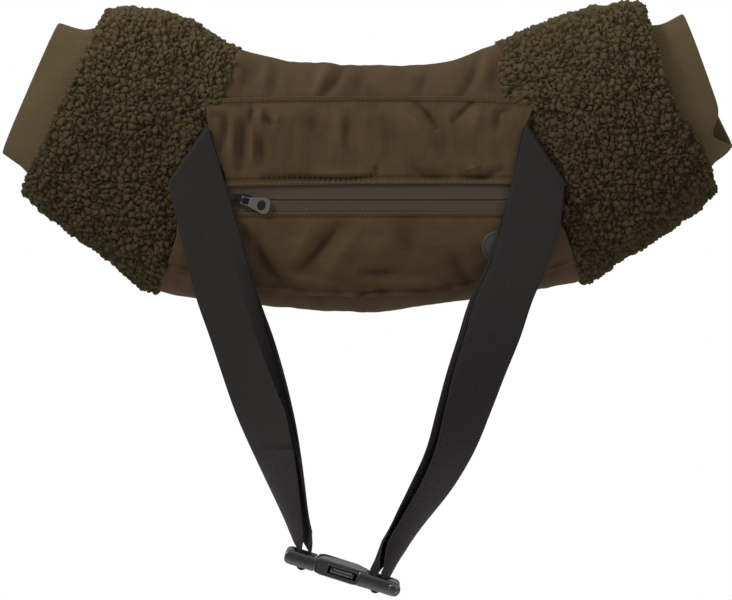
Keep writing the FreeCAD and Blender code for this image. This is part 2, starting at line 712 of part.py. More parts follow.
# --- hanging straps --------------------------------------------------------
# z, outer x, inner x of the front layer, twist of the ribbon, offset in x of
# the back layer, and depth of the ribbon's middle
STRAP = {
    "left": [
        (-3.2, -136.2, -96.8, 0, 0.0, -42.9),
        (-18.0, -133.4, -92.2, 0, 0.8, -43.0),
        (-32.9, -130.6, -88.2, 0, 1.6, -43.1),
        (-55.0, -125.4, -82.4, 3, 2.6, -43.3),
        (-78.4, -119.0, -76.3, 5, 3.6, -43.6),
        (-105.0, -109.0, -68.4, 11, 4.6, -43.9),
        (-130.2, -100.8, -61.2, 18, 5.0, -44.3),
        (-156.1, -91.8, -55.2, 28, 5.2, -44.7),
        (-189.0, -77.6, -50.0, 47, 5.8, -45.3),
        (-221.2, -63.0, -46.9, 66, 7.4, -45.9),
        (-239.4, -53.4, -45.6, 79, 8.2, -46.3),
    ],
    "right": [
        (-3.2, 137.4, 100.2, 0, 0.0, -42.9),
        (-18.0, 137.0, 95.4, 0, 0.8, -43.0),
        (-32.9, 136.2, 90.8, 0, 1.6, -43.1),
        (-55.0, 130.4, 82.2, 3, 2.8, -43.3),
        (-78.4, 118.4, 73.6, 6, 3.8, -43.6),
        (-105.0, 110.0, 65.6, 15, 4.6, -43.9),
        (-130.0, 99.4, 58.6, 26, 5.0, -44.3),
        (-156.0, 90.2, 51.4, 36, 5.6, -44.7),
        (-182.4, 78.2, 46.2, 46, 6.4, -45.1),
        (-205.8, 64.6, 36.6, 52, 7.2, -45.6),
        (-225.4, 50.6, 27.0, 58, 7.8, -46.0),
        (-246.0, 34.4, 16.6, 68, 8.2, -46.3),
    ],
}


def ribbon_rows(side, back):
    """Centre line, width direction and normal for each level of a strap."""
    sgn = 1.0 if side == "left" else -1.0
    rows = STRAP[side]
    ctr = []
    for z, xo, xi, tw, dx, y in rows:
        cx = (xo + xi) / 2 + (sgn * dx if back else 0.0)
        a = math.radians(tw)
        dy = 1.8 * math.cos(a) if back else 0.0
        ctr.append(V(cx, y + dy + (0.0), z))
    out = []
    for i, (z, xo, xi, tw, dx, y) in enumerate(rows):
        a = math.radians(tw)
        t = ctr[min(i + 1, len(ctr) - 1)] - ctr[max(i - 1, 0)]
        t.normalize()
        w = V(sgn * math.cos(a), -math.sin(a), 0)
        # width that the front view shows, kept level, at most the real width
        true = min(get("web_wide") / 2, abs(xi - xo) / 2 / max(math.cos(a), 0.05))
        lean = math.sqrt(max(1e-6, 1 - (t.dot(w)) ** 2))
        half = min(get("web_wide") / 2, true * lean) / lean
        nrm = t.cross(w)
        nrm.normalize()
        out.append((ctr[i], w * half, nrm))
    return out


def strap(side):
    sgn = 1.0 if side == "left" else -1.0
    front = ribbon_rows(side, False)
    back = ribbon_rows(side, True)
    hw = get("web_wide") / 2
    if side == "left":
        b0, b1 = 10.9, 15.1
    else:
        # seen from its own end the female half's bar runs the other way
        b0, b1 = 68.4, 64.2
    mid = (b0 + b1) / 2
    dirn = 1 if b1 > b0 else -1
    r = abs(b1 - b0) / 2 + WT / 2 + 0.45
    y = BCY
    levels = list(front)
    # through the outer slot
    def at(s, d):
        x, z = on_buckle(s, d)
        return V(x, y, z)
    path = [(mid - dirn * (r + 0.25), 4.0), (mid - dirn * r, 0.0), (mid - dirn * r, -2.6)]
    for k in range(1, 8):
        a = math.pi * k / 8
        path.append((mid - dirn * r * math.cos(a), -2.9 - r * math.sin(a)))
    path += [(mid + dirn * r, -2.6), (mid + dirn * r, 0.0), (mid + dirn * (r + 0.1), 4.0)]
    pts = [at(s, d) for s, d in path]
    prev = front[-1][0]
    nxt = back[-1][0]
    for i, p in enumerate(pts):
        a0 = pts[i - 1] if i else prev
        a1 = pts[i + 1] if i + 1 < len(pts) else nxt
        t = a1 - a0
        t.normalize()
        w = V(0, -1, 0) * hw
        n = t.cross(w)
        n.normalize()
        levels.append((p, w, n))
    for c, w, n in reversed(back):
        levels.append((c, w, n * -1))
    return levels


def chunk_solids(levels):
    """Straight-sided spans, each a ruled solid, fused along the strap."""
    wires = []
    for c, w, n in levels:
        h = n * (WT / 2)
        pts = [c - w - h, c + w - h, c + w + h, c - w + h]
        wires.append(Part.makePolygon(pts + [pts[0]]))
    return Part.makeLoft(wires, True, True)


strap_levels = {side: strap(side) for side in ("left", "right")}
left_all = chunk_solids(strap_levels["left"])
right_all = chunk_solids(strap_levels["right"])
if left_all.Volume < 0:
    left_all.reverse()
if right_all.Volume < 0:
    right_all.reverse()
print("left strap", left_all.isValid(), round(left_all.Volume, 1), "right", right_all.isValid(), round(right_all.Volume, 1))


def half_space(above, c0):
    """A big block above or below the plane across the buckle's thickness."""
    n = V(st, 0, ct)
    u = V(ct, 0, -st)
    o = n * c0
    blk = Part.makeBox(600, 300, 600)
    m = FreeCAD.Matrix(u.x, 0, n.x, 0, 0, 1, 0, 0, u.z, 0, n.z, 0, 0, 0, 0, 1)
    blk.transformShape(m)
    shift = o - u * 300 + V(0, -150 - 40, 0)
    if not above:
        shift = shift - n * 600
    blk.translate(shift)
    return blk


# the male half and the webbing just above it part from the rest along a
# plane that holds the direction of release
x0, z0 = on_buckle(13.0, 26.0)
c_split = x0 * st + z0 * ct
left_upper = left_all.common(half_space(True, c_split + 0.25))
left_lower = left_all.common(half_space(False, c_split - 0.25))
print("left upper solids", len(left_upper.Solids), "lower", len(left_lower.Solids))


def solids_of(shape):
    s = shape.Solids
    return s[0] if len(s) == 1 else Part.makeCompound(s)


piece("strap_left", solids_of(left_upper))
piece("strap_left_loop", solids_of(left_lower))
piece("strap_right", solids_of(right_all))

# ---------------------------------------------------------------------------
# Check everything, then write each piece
# ---------------------------------------------------------------------------
doc.recompute()
for obj in doc.Objects:
    if any(s in ("Invalid", "Error") for s in obj.State):
        raise RuntimeError("failed feature: %s" % obj.Label)
for obj in made:
    shp = obj.Shape
    if shp.isNull() or not shp.isValid():
        raise RuntimeError("bad shape: %s" % obj.Label)
    if not shp.Solids:
        raise RuntimeError("no solid: %s" % obj.Label)

os.makedirs("parts", exist_ok=True)
for obj in made:
    obj.Shape.exportStep(os.path.join("parts", obj.Label + ".step"))
    bb = obj.Shape.BoundBox
    print("%-20s n=%d V=%10.1f  x %7.1f %7.1f  y %6.1f %6.1f  z %7.1f %7.1f" % (
        obj.Label, len(obj.Shape.Solids), obj.Shape.Volume,
        bb.XMin, bb.XMax, bb.YMin, bb.YMax, bb.ZMin, bb.ZMax))
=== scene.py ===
import bpy
import bmesh
import math
import numpy as np
from mathutils import Vector, Matrix, noise


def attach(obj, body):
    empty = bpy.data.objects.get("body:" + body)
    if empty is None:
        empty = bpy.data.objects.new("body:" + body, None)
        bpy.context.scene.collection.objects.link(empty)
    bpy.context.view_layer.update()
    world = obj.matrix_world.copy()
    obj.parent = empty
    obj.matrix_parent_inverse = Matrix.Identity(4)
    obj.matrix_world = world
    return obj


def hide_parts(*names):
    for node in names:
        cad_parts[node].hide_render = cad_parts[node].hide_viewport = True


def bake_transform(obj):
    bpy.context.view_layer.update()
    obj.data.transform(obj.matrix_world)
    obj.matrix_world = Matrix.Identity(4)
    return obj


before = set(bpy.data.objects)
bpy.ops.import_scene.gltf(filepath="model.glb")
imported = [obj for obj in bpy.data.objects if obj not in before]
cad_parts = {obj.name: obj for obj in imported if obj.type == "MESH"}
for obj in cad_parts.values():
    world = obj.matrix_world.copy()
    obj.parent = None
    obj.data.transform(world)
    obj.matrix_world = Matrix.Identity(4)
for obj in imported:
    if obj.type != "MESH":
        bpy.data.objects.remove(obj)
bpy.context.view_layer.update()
rng = np.random.default_rng(11)

# ---------------------------------------------------------------------------
# camera, floor, lights
# ---------------------------------------------------------------------------
scene = bpy.context.scene
scene.view_settings.view_transform = "Standard"
PLANE_Y = -0.026
DIST = 3.0
MM_PER_PX = 0.70
cam_data = bpy.data.cameras.new("camera")
cam = bpy.data.objects.new("camera", cam_data)
scene.collection.objects.link(cam)
cam_data.sensor_width = 36.0
cam_data.lens = 36.0 * DIST / (732 * MM_PER_PX * 0.001)
cam.location = (0.0, PLANE_Y - DIST, (188 - 300) * MM_PER_PX * 0.001)
cam.rotation_euler = (math.radians(90), 0, 0)
scene.camera = cam

world = bpy.data.worlds.new("studio")
scene.world = world
world.use_nodes = True
wt = world.node_tree
bg = wt.nodes["Background"]
bg.inputs["Color"].default_value = (1.0, 1.0, 1.0, 1)
# soft overhead studio light: bright above, dim below; plain white behind
sky_tc = wt.nodes.new("ShaderNodeTexCoord")
sky_sep = wt.nodes.new("ShaderNodeSeparateXYZ")
sky_map = wt.nodes.new("ShaderNodeMapRange")
sky_map.interpolation_type = "SMOOTHSTEP"
sky_map.inputs["From Min"].default_value = -0.35
sky_map.inputs["From Max"].default_value = 1.0
sky_map.inputs["To Min"].default_value = 0.05
sky_map.inputs["To Max"].default_value = 0.85
wt.links.new(sky_tc.outputs["Generated"], sky_sep.inputs[0])
wt.links.new(sky_sep.outputs["Z"], sky_map.inputs["Value"])
wt.links.new(sky_map.outputs["Result"], bg.inputs["Strength"])
white = wt.nodes.new("ShaderNodeBackground")
white.inputs["Color"].default_value = (1, 1, 1, 1)
white.inputs["Strength"].default_value = 1.0
lp = wt.nodes.new("ShaderNodeLightPath")
mx = wt.nodes.new("ShaderNodeMixShader")
wt.links.new(lp.outputs["Is Camera Ray"], mx.inputs[0])
wt.links.new(bg.outputs[0], mx.inputs[1])
wt.links.new(white.outputs[0], mx.inputs[2])
wt.links.new(mx.outputs[0], wt.nodes["World Output"].inputs["Surface"])


def area(name, loc, target, size_x, size_y, power, colour=(1, 1, 1)):
    d = bpy.data.lights.new(name, "AREA")
    d.shape = "RECTANGLE"
    d.size, d.size_y = size_x, size_y
    d.energy = power
    d.color = colour
    o = bpy.data.objects.new(name, d)
    scene.collection.objects.link(o)
    o.location = loc
    v = Vector(target) - Vector(loc)
    o.rotation_euler = v.to_track_quat("-Z", "Y").to_euler()
    return o


area("key", (-1.25, -0.95, 1.25), (0, 0, 0.0), 0.5, 0.5, 31)
area("fill", (1.2, -1.3, 0.5), (0, 0, -0.05), 0.7, 0.7, 4.2)
area("top", (0.1, 0.35, 1.5), (0, 0, 0), 1.0, 0.5, 5.5)

# ---------------------------------------------------------------------------
# numpy helpers; everything is worked out in millimetres
# ---------------------------------------------------------------------------
POWER = 2.4
BACK = 31.0
STATIONS = {
    "ribL_end": (-235.6, 70.7, 50.3, 23.4, 17.0),
    "ribL_mid": (-222.3, 64.8, 52.8, 25.6, 18.5),
    "ribL_root": (-208.6, 60.6, 59.0, 25.0, 20.0),
    "furL_end": (-208.6, 60.6, 69.0, 25.0, 28.0),
    "furL_far": (-195.0, 55.0, 77.8, 23.2, 34.0),
    "furL_mid": (-161.7, 39.9, 85.8, 21.5, 35.5),
    "seamL": (-119.0, 13.0, 89.8, 18.6, 33.4),
    "midL": (-60.0, 3.8, 86.6, 8.0, 33.0),
    "centre": (0.0, 0.0, 86.8, 0.0, 33.0),
    "midR": (62.0, 5.6, 83.5, -8.3, 33.0),
    "seamR": (123.6, 18.9, 88.5, -19.7, 33.4),
    "furR_mid": (165.6, 40.3, 85.5, -20.4, 35.5),
    "furR_far": (200.6, 55.7, 78.2, -20.6, 34.0),
    "furR_end": (217.6, 62.8, 68.4, -22.7, 28.0),
    "ribR_root": (217.6, 62.8, 55.8, -22.7, 20.0),
    "ribR_mid": (227.9, 68.6, 51.4, -22.0, 18.5),
    "ribR_end": (238.7, 78.4, 47.6, -19.8, 17.0),
}
BODY = ["furL_end", "furL_far", "furL_mid", "seamL", "midL", "centre", "midR",
        "seamR", "furR_mid", "furR_far", "furR_end"]


def hermite(xs, ys, x):
    """Smooth curve through points with limited slopes, for arrays."""
    xs, ys = np.array(xs, float), np.array(ys, float)
    x = np.asarray(x, float)
    d = np.diff(ys) / np.diff(xs)
    m = np.zeros(len(xs))
    m[0], m[-1] = d[0], d[-1]
    for i in range(1, len(xs) - 1):
        m[i] = 0 if d[i - 1] * d[i] <= 0 else 2 * d[i - 1] * d[i] / (d[i - 1] + d[i])
    k = np.clip(np.searchsorted(xs, x, side="right") - 1, 0, len(xs) - 2)
    h = xs[k + 1] - xs[k]
    u = (x - xs[k]) / h
    return ((2 * u ** 3 - 3 * u ** 2 + 1) * ys[k] + (u ** 3 - 2 * u ** 2 + u) * h * m[k]
            + (-2 * u ** 3 + 3 * u ** 2) * ys[k + 1] + (u ** 3 - u ** 2) * h * m[k + 1])


def station(x):
    xs = [STATIONS[n][0] for n in BODY]
    return [hermite(xs, [STATIONS[n][k] for n in BODY], x) for k in (1, 3, 2, 4)]


def sgnpow(v, p):
    return np.sign(v) * np.abs(v) ** p


def even_angles(n, half, depth, start=0.0):
    """Angles that step evenly round the flattened oval."""
    t = np.linspace(0, 2 * np.pi, 8001)
    u = half * sgnpow(np.cos(t), 2 / POWER)
    v = depth * sgnpow(np.sin(t), 2 / POWER)
    s = np.concatenate([[0], np.cumsum(np.hypot(np.diff(u), np.diff(v)))])
    at = (np.arange(n) / n + start) % 1.0 * s[-1]
    return np.interp(at, s, t), s[-1]


def ring_points(x, z, tilt, half, depth, t, back=BACK):
    """Points of one ring. x..depth may be arrays that match t."""
    a = np.radians(tilt)
    u = half * sgnpow(np.cos(t), 2 / POWER)
    v = depth * sgnpow(np.sin(t), 2 / POWER)
    y = -v
    if back is not None:
        y = np.where(y > back, back + (y - back) * 0.15, y)
    return np.stack([x + u * np.sin(a), y + 0 * u, z + u * np.cos(a)], axis=-1)


def normals_of(P, wrap_r=False, wrap_c=True):
    """Normals of a grid of points."""
    def diff(A, axis, wrap):
        if wrap:
            return np.roll(A, -1, axis) - np.roll(A, 1, axis)
        return np.gradient(A, axis=axis)
    n = np.cross(diff(P, 0, wrap_r), diff(P, 1, wrap_c))
    ln = np.linalg.norm(n, axis=-1, keepdims=True)
    return n / np.maximum(ln, 1e-9)


def grid_quads(rows, cols, wrap_r=False, wrap_c=True):
    r = np.arange(rows if wrap_r else rows - 1)
    c = np.arange(cols if wrap_c else cols - 1)
    R, C = np.meshgrid(r, c, indexing="ij")
    R1, C1 = (R + 1) % rows, (C + 1) % cols
    return np.stack([R * cols + C, R * cols + C1, R1 * cols + C1, R1 * cols + C], -1).reshape(-1, 4)


def make_object(name, verts, quads, mat=None, attrs=None, uv=None, smooth=True):
    me = bpy.data.meshes.new(name)
    verts = np.ascontiguousarray(verts.reshape(-1, 3) * 0.001, np.float32)
    quads = np.ascontiguousarray(quads, np.int32)
    me.vertices.add(len(verts))
    me.vertices.foreach_set("co", verts.ravel())
    me.loops.add(quads.size)
    me.loops.foreach_set("vertex_index", quads.ravel())
    me.polygons.add(len(quads))
    me.polygons.foreach_set("loop_start", np.arange(0, quads.size, quads.shape[1], dtype=np.int32))
    me.update(calc_edges=True)
    me.validate()
    for key, val in (attrs or {}).items():
        at = me.attributes.new(key, "FLOAT", "POINT")
        at.data.foreach_set("value", np.ascontiguousarray(val, np.float32).ravel())
    if uv is not None:
        lay = me.uv_layers.new(name="UVMap")
        idx = np.zeros(len(me.loops), np.int32)
        me.loops.foreach_get("vertex_index", idx)
        lay.data.foreach_set("uv", np.ascontiguousarray(uv.reshape(-1, 2)[idx], np.float32).ravel())
    if smooth:
        me.polygons.foreach_set("use_smooth", np.ones(len(me.polygons), bool))
    ob = bpy.data.objects.new(name, me)
    scene.collection.objects.link(ob)
    if mat is not None:
        me.materials.append(mat)
    return ob


def fix_normals(ob):
    bm = bmesh.new()
    bm.from_mesh(ob.data)
    bmesh.ops.recalc_face_normals(bm, faces=bm.faces)
    bm.to_mesh(ob.data)
    bm.free()
    return ob


def smoothstep(a, b, x):
    t = np.clip((x - a) / (b - a), 0, 1)
    return t * t * (3 - 2 * t)


def vnoise(P, scale, seed=0.0):
    """Smooth noise at points, about -1 to 1."""
    Q = P.reshape(-1, 3) / scale + seed
    out = np.fromiter((noise.noise(Vector(q)) for q in Q), float, len(Q))
    return out.reshape(P.shape[:-1])


def resample(A, n):
    i = np.linspace(0, len(A) - 1, n)
    k = np.clip(i.astype(int), 0, len(A) - 2)
    f = (i - k)[:, None]
    return A[k] * (1 - f) + A[k + 1] * f


def spline(points, n):
    """Even points on a smooth curve through points (Catmull-Rom)."""
    P = np.array(points, float)
    P = np.vstack([2 * P[0] - P[1], P, 2 * P[-1] - P[-2]])
    out = []
    for i in range(1, len(P) - 2):
        t = np.linspace(0, 1, 24, endpoint=False)[:, None]
        a, b, c, d = P[i - 1], P[i], P[i + 1], P[i + 2]
        out.append(0.5 * ((2 * b) + (-a + c) * t + (2 * a - 5 * b + 4 * c - d) * t ** 2
                          + (-a + 3 * b - 3 * c + d) * t ** 3))
    out.append(P[-2][None])
    L = np.vstack(out)
    s = np.concatenate([[0], np.cumsum(np.linalg.norm(np.diff(L[:, :3], axis=0), axis=1))])
    at = np.linspace(0, s[-1], n)
    return np.stack([np.interp(at, s, L[:, k]) for k in range(L.shape[1])], 1)


# ---------------------------------------------------------------------------
# materials
# ---------------------------------------------------------------------------
def lin(rgb):
    out = []
    for c in rgb:
        c = c / 255
        out.append(c / 12.92 if c <= 0.04045 else ((c + 0.055) / 1.055) ** 2.4)
    return out


class Mat:
    def __init__(self, name):
        self.m = bpy.data.materials.new(name)
        self.m.use_nodes = True
        self.t = self.m.node_tree
        self.b = self.t.nodes["Principled BSDF"]

    def node(self, kind, **kw):
        n = self.t.nodes.new(kind)
        for k, v in kw.items():
            setattr(n, k, v)
        return n

    def link(self, a, b):
        self.t.links.new(a, b)

    def value(self, n, **kw):
        for k, v in kw.items():
            n.inputs[k.replace("_", " ")].default_value = v

    def coords(self, scale=(1, 1, 1), kind="Object", rot=(0, 0, 0)):
        tc = self.node("ShaderNodeTexCoord")
        mp = self.node("ShaderNodeMapping")
        mp.inputs["Scale"].default_value = scale
        mp.inputs["Rotation"].default_value = rot
        self.link(tc.outputs[kind], mp.inputs["Vector"])
        return mp.outputs["Vector"]

    def noise(self, vec, scale, detail=4, rough=0.55, distortion=0.0):
        n = self.node("ShaderNodeTexNoise")
        n.inputs["Scale"].default_value = scale
        n.inputs["Detail"].default_value = detail
        n.inputs["Roughness"].default_value = rough
        n.inputs["Distortion"].default_value = distortion
        self.link(vec, n.inputs["Vector"])
        return n.outputs["Fac"]

    def wave(self, vec, scale, direction="X", distortion=0.0, profile="SIN"):
        w = self.node("ShaderNodeTexWave")
        w.wave_type = "BANDS"
        w.bands_direction = direction
        w.wave_profile = profile
        w.inputs["Scale"].default_value = scale
        w.inputs["Distortion"].default_value = distortion
        self.link(vec, w.inputs["Vector"])
        return w.outputs["Fac"]

    def math(self, op, a, b=None, clamp=False):
        n = self.node("ShaderNodeMath")
        n.operation = op
        n.use_clamp = clamp
        for i, v in enumerate((a, b)):
            if v is None:
                continue
            if isinstance(v, (int, float)):
                n.inputs[i].default_value = v
            else:
                self.link(v, n.inputs[i])
        return n.outputs[0]

    def ramp(self, fac, stops):
        r = self.node("ShaderNodeValToRGB")
        el = r.color_ramp.elements
        while len(el) > 1:
            el.remove(el[-1])
        for i, (pos, col) in enumerate(stops):
            e = el[0] if i == 0 else el.new(pos)
            e.position = pos
            e.color = (*col, 1) if len(col) == 3 else col
        self.link(fac, r.inputs["Fac"])
        return r.outputs["Color"]

    def mix(self, fac, a, b, kind="MIX"):
        n = self.node("ShaderNodeMix")
        n.data_type = "RGBA"
        n.blend_type = kind
        for sock, v in ((n.inputs[0], fac), (n.inputs[6], a), (n.inputs[7], b)):
            if isinstance(v, (int, float)):
                sock.default_value = v
            elif isinstance(v, (tuple, list)):
                sock.default_value = (*v[:3], 1)
            else:
                self.link(v, sock)
        return n.outputs[2]

    def attr(self, name):
        a = self.node("ShaderNodeAttribute")
        a.attribute_name = name
        return a.outputs["Fac"]

    def bump(self, height, strength, distance, prev=None):
        b = self.node("ShaderNodeBump")
        b.inputs["Strength"].default_value = strength
        b.inputs["Distance"].default_value = distance
        self.link(height, b.inputs["Height"])
        if prev is not None:
            self.link(prev, b.inputs["Normal"])
        return b.outputs["Normal"]

    def out(self, color=None, rough=None, normal=None, metal=None, spec=None, sheen=None, sheen_tint=None):
        for key, v in (("Base Color", color), ("Roughness", rough), ("Normal", normal), ("Metallic", metal),
                       ("Specular IOR Level", spec), ("Sheen Weight", sheen)):
            if v is None:
                continue
            if isinstance(v, (int, float)):
                self.b.inputs[key].default_value = v
            elif isinstance(v, (tuple, list)):
                self.b.inputs[key].default_value = (*v[:3], 1)
            else:
                self.link(v, self.b.inputs[key])
        if sheen_tint is not None:
            self.b.inputs["Sheen Tint"].default_value = (*sheen_tint, 1)
        return self.m


def scaled(c, k):
    return tuple(min(1.0, x * k) for x in c)


def cloth(name, rgb, thread=0.75, mottle=0.26, bump=0.3, sheen=0.04):
    """Fine plain weave with a dry hand: threads from UVs in millimetres."""
    m = Mat(name)
    base = lin(rgb)
    uv = m.coords((1, 1, 1), "UV")
    ob = m.coords((1, 1, 1), "Object")
    k = 1 / thread / 2
    wx = m.wave(uv, k / 1.0 * 0.31831 * 3.14159, "X", 0.4)
    wy = m.wave(uv, k / 1.0 * 0.31831 * 3.14159, "Y", 0.4)
    weave = m.math("MULTIPLY", m.math("ADD", wx, wy), 0.5)
    fine = m.noise(ob, 900, 3, 0.6)
    mid = m.noise(ob, 90, 5, 0.6)
    big = m.noise(ob, 14, 4, 0.55)
    tone = m.math("ADD", m.math("MULTIPLY", mid, 0.55), m.math("MULTIPLY", big, 0.45))
    c1 = m.ramp(tone, [(0.32, scaled(base, 1 - mottle)), (0.5, base), (0.68, scaled(base, 1 + mottle))])
    c2 = m.mix(m.math("MULTIPLY", fine, 0.35), c1, scaled(base, 1.55))
    c3 = m.mix(m.math("MULTIPLY", m.math("SUBTRACT", 1.0, weave), 0.30), c2, scaled(base, 0.62))
    # painted shade darkens the creases and painted light lifts the crests, read from the fold attribute
    fold = m.attr("fold")
    c3 = m.mix(m.math("MULTIPLY", fold, -0.60, True), c3, scaled(base, 0.25))
    c3 = m.mix(m.math("MULTIPLY", fold, 0.42, True), c3, scaled(base, 1.75))
    hgt = m.math("ADD", m.math("MULTIPLY", weave, 0.8), m.math("MULTIPLY", fine, 0.5))
    nb = m.bump(hgt, bump, 0.0004)
    return m.out(c3, 0.86, nb, spec=0.10, sheen=sheen, sheen_tint=scaled(base, 4))


SHELL_RGB = (67, 53, 37)
PANEL_RGB = (65, 51, 34)
M_shell = cloth("shell_twill", SHELL_RGB)
M_panel = cloth("panel_twill", PANEL_RGB)
M_pocket = cloth("pocket_cloth", (52, 44, 34), sheen=0.1)
M_tan = cloth("turned_edge", (66, 53, 37), bump=0.3)


def fleece_mat():
    m = Mat("sherpa_fleece")
    ob = m.coords()
    base = lin((71, 62, 43))
    lump = m.attr("lump")
    tone = m.noise(ob, 45, 4, 0.6)
    curl = m.noise(ob, 760, 5, 0.75, 1.1)
    # painted shade in the crevices between the curls and painted light on their tips, from the curl height
    c = m.ramp(lump, [(0.0, scaled(base, 0.12)), (0.22, scaled(base, 0.30)), (0.45, scaled(base, 0.80)),
                      (0.75, scaled(base, 1.02)), (1.0, scaled(base, 1.18))])
    c = m.mix(m.math("MULTIPLY", tone, 0.35), c, scaled(base, 0.72))
    c = m.mix(m.math("MULTIPLY", curl, 0.30), c, scaled(base, 1.45))
    # painted light makes the pile lighter higher up and painted shade makes it darker low down, as for light from
    # above
    sep = m.node("ShaderNodeSeparateXYZ")
    m.link(ob, sep.inputs[0])
    up = m.math("MULTIPLY", m.math("SUBTRACT", sep.outputs["Z"], 0.035), 11.0, True)
    low = m.math("MULTIPLY", m.math("SUBTRACT", 0.055, sep.outputs["Z"]), 11.0, True)
    c = m.mix(up, c, [1.50, 1.50, 1.50], "MULTIPLY")
    c = m.mix(low, c, [0.84, 0.84, 0.84], "MULTIPLY")
    nb = m.bump(curl, 0.9, 0.0011)
    return m.out(c, 0.97, nb, spec=0.03, sheen=0.02, sheen_tint=scaled(base, 4))


M_fleece = fleece_mat()


def rib_mat():
    m = Mat("rib_knit")
    ob = m.coords()
    base = lin((85, 73, 52))
    rib = m.attr("rib")
    fine = m.noise(ob, 700, 3, 0.6)
    big = m.noise(ob, 25, 4, 0.55)
    # painted shade in the grooves between the ribs and painted light on the ribs
    c = m.ramp(rib, [(0.0, scaled(base, 0.78)), (0.5, scaled(base, 0.97)), (1.0, scaled(base, 1.06))])
    c = m.mix(m.math("MULTIPLY", big, 0.35), c, scaled(base, 0.82))
    c = m.mix(m.math("MULTIPLY", fine, 0.25), c, scaled(base, 1.5))
    # knit stitches run across the ribs
    uv = m.coords((1, 1, 1), "UV")
    st = m.wave(uv, 0.5, "X", 1.2)
    c = m.mix(m.math("MULTIPLY", m.math("SUBTRACT", 1.0, st), 0.16), c, scaled(base, 0.55))
    nb = m.bump(m.math("ADD", m.math("MULTIPLY", st, 0.5), fine), 0.25, 0.0004)
    return m.out(c, 0.92, nb, spec=0.06, sheen=0.05, sheen_tint=scaled(base, 4))


M_rib = rib_mat()


def lining_mat():
    m = Mat("lining_fleece")
    ob = m.coords()
    base = lin((66, 58, 44))
    n1 = m.noise(ob, 450, 5, 0.7, 0.6)
    n2 = m.noise(ob, 70, 3, 0.6)
    c = m.ramp(n1, [(0.3, scaled(base, 0.45)), (0.55, base), (0.75, scaled(base, 1.4))])
    c = m.mix(m.math("MULTIPLY", n2, 0.4), c, scaled(base, 0.7))
    return m.out(c, 0.97, m.bump(n1, 0.7, 0.0016), spec=0.05, sheen=0.05, sheen_tint=scaled(base, 4))


M_lining = lining_mat()


def webbing_mat():
    m = Mat("webbing")
    base = lin((30, 27, 26))
    uv = m.coords((1, 1, 1), "UV")
    ob = m.coords()
    rows = m.wave(uv, 0.196, "Y", 0.25)
    picks = m.wave(uv, 0.31, "X", 0.8)
    tone = m.noise(ob, 30, 4, 0.5)
    fine = m.noise(ob, 1200, 3, 0.6)
    c = m.mix(m.math("MULTIPLY", m.math("SUBTRACT", 1.0, rows), 0.55), scaled(base, 1.25), scaled(base, 0.45))
    c = m.mix(m.math("MULTIPLY", picks, 0.22), c, scaled(base, 1.6))
    c = m.mix(m.math("MULTIPLY", tone, 0.3), c, scaled(base, 0.8))
    hgt = m.math("ADD", rows, m.math("MULTIPLY", picks, 0.35))
    hgt = m.math("ADD", hgt, m.math("MULTIPLY", fine, 0.3))
    return m.out(c, 0.62, m.bump(hgt, 0.6, 0.0005), spec=0.16, sheen=0.0)


M_web = webbing_mat()


def tape_mat():
    m = Mat("zip_tape")
    base = lin((63, 53, 42))
    uv = m.coords((1, 1, 1), "UV")
    ob = m.coords()
    a = m.wave(uv, 0.55, "X", 0.3)
    b = m.wave(uv, 0.30, "Y", 0.2)
    f = m.noise(ob, 1000, 3, 0.6)
    c = m.mix(m.math("MULTIPLY", m.math("SUBTRACT", 1.0, a), 0.35), base, scaled(base, 0.55))
    c = m.mix(m.math("MULTIPLY", m.math("SUBTRACT", 1.0, b), 0.30), c, scaled(base, 0.6))
    c = m.mix(m.math("MULTIPLY", f, 0.2), c, scaled(base, 1.6))
    return m.out(c, 0.75, m.bump(m.math("ADD", a, b), 0.3, 0.0003), spec=0.2)


M_tape = tape_mat()


def plastic_mat(name, rgb, rough, grain=0.15, spec=0.5):
    m = Mat(name)
    ob = m.coords()
    base = lin(rgb)
    n = m.noise(ob, 420, 3, 0.6)
    s = m.noise(ob, 60, 3, 0.5)
    c = m.mix(m.math("MULTIPLY", s, 0.4), base, scaled(base, 1.5))
    r = m.math("ADD", m.math("MULTIPLY", n, 0.14), rough - 0.07)
    return m.out(c, r, m.bump(n, grain, 0.0002), spec=spec)


M_black = plastic_mat("black_plastic", (20, 19, 18), 0.20, 0.12, 1.0)
# lighter copy of the black plastic: a painted highlight on the crowned faces of the buckle
M_crown_highlight = plastic_mat("black_plastic_painted_highlight", (40, 38, 36), 0.30, 0.2, 1.0)
# lighter copy of the glossy black plastic: painted light on the catch ribs in the shaded window and a painted
# highlight on the bar-end rings
M_catch_lightened = plastic_mat("black_plastic_polished_painted_light", (44, 42, 40), 0.18, 0.12, 1.0)
M_badge = plastic_mat("badge_rubber", (44, 42, 39), 0.6, 0.3)
M_coil = plastic_mat("zip_coil", (52, 46, 38), 0.5)


def metal_mat(name, rgb, rough):
    m = Mat(name)
    ob = m.coords()
    base = lin(rgb)
    n = m.noise(ob, 500, 4, 0.6)
    w = m.noise(ob, 140, 3, 0.5)
    c = m.mix(m.math("MULTIPLY", w, 0.5), base, scaled(base, 0.6))
    r = m.math("ADD", m.math("MULTIPLY", n, 0.2), rough - 0.1)
    return m.out(c, r, m.bump(n, 0.1, 0.0002), metal=1.0)


M_slider = metal_mat("slider_metal", (56, 57, 60), 0.32)
M_puller = metal_mat("puller_metal", (128, 125, 122), 0.38)
M_thread = cloth("stitch_thread", (96, 78, 54), thread=0.3, bump=0.4)
M_thread_dark = cloth("stitch_thread_dark", (50, 40, 28), thread=0.3, bump=0.4)


def wadding_mat():
    m = Mat("wadding")
    ob = m.coords()
    n = m.noise(ob, 180, 5, 0.7)
    c = m.ramp(n, [(0.3, (0.45, 0.44, 0.41)), (0.7, (0.72, 0.71, 0.67))])
    return m.out(c, 0.95, m.bump(n, 0.6, 0.002), spec=0.1)


M_wad = wadding_mat()


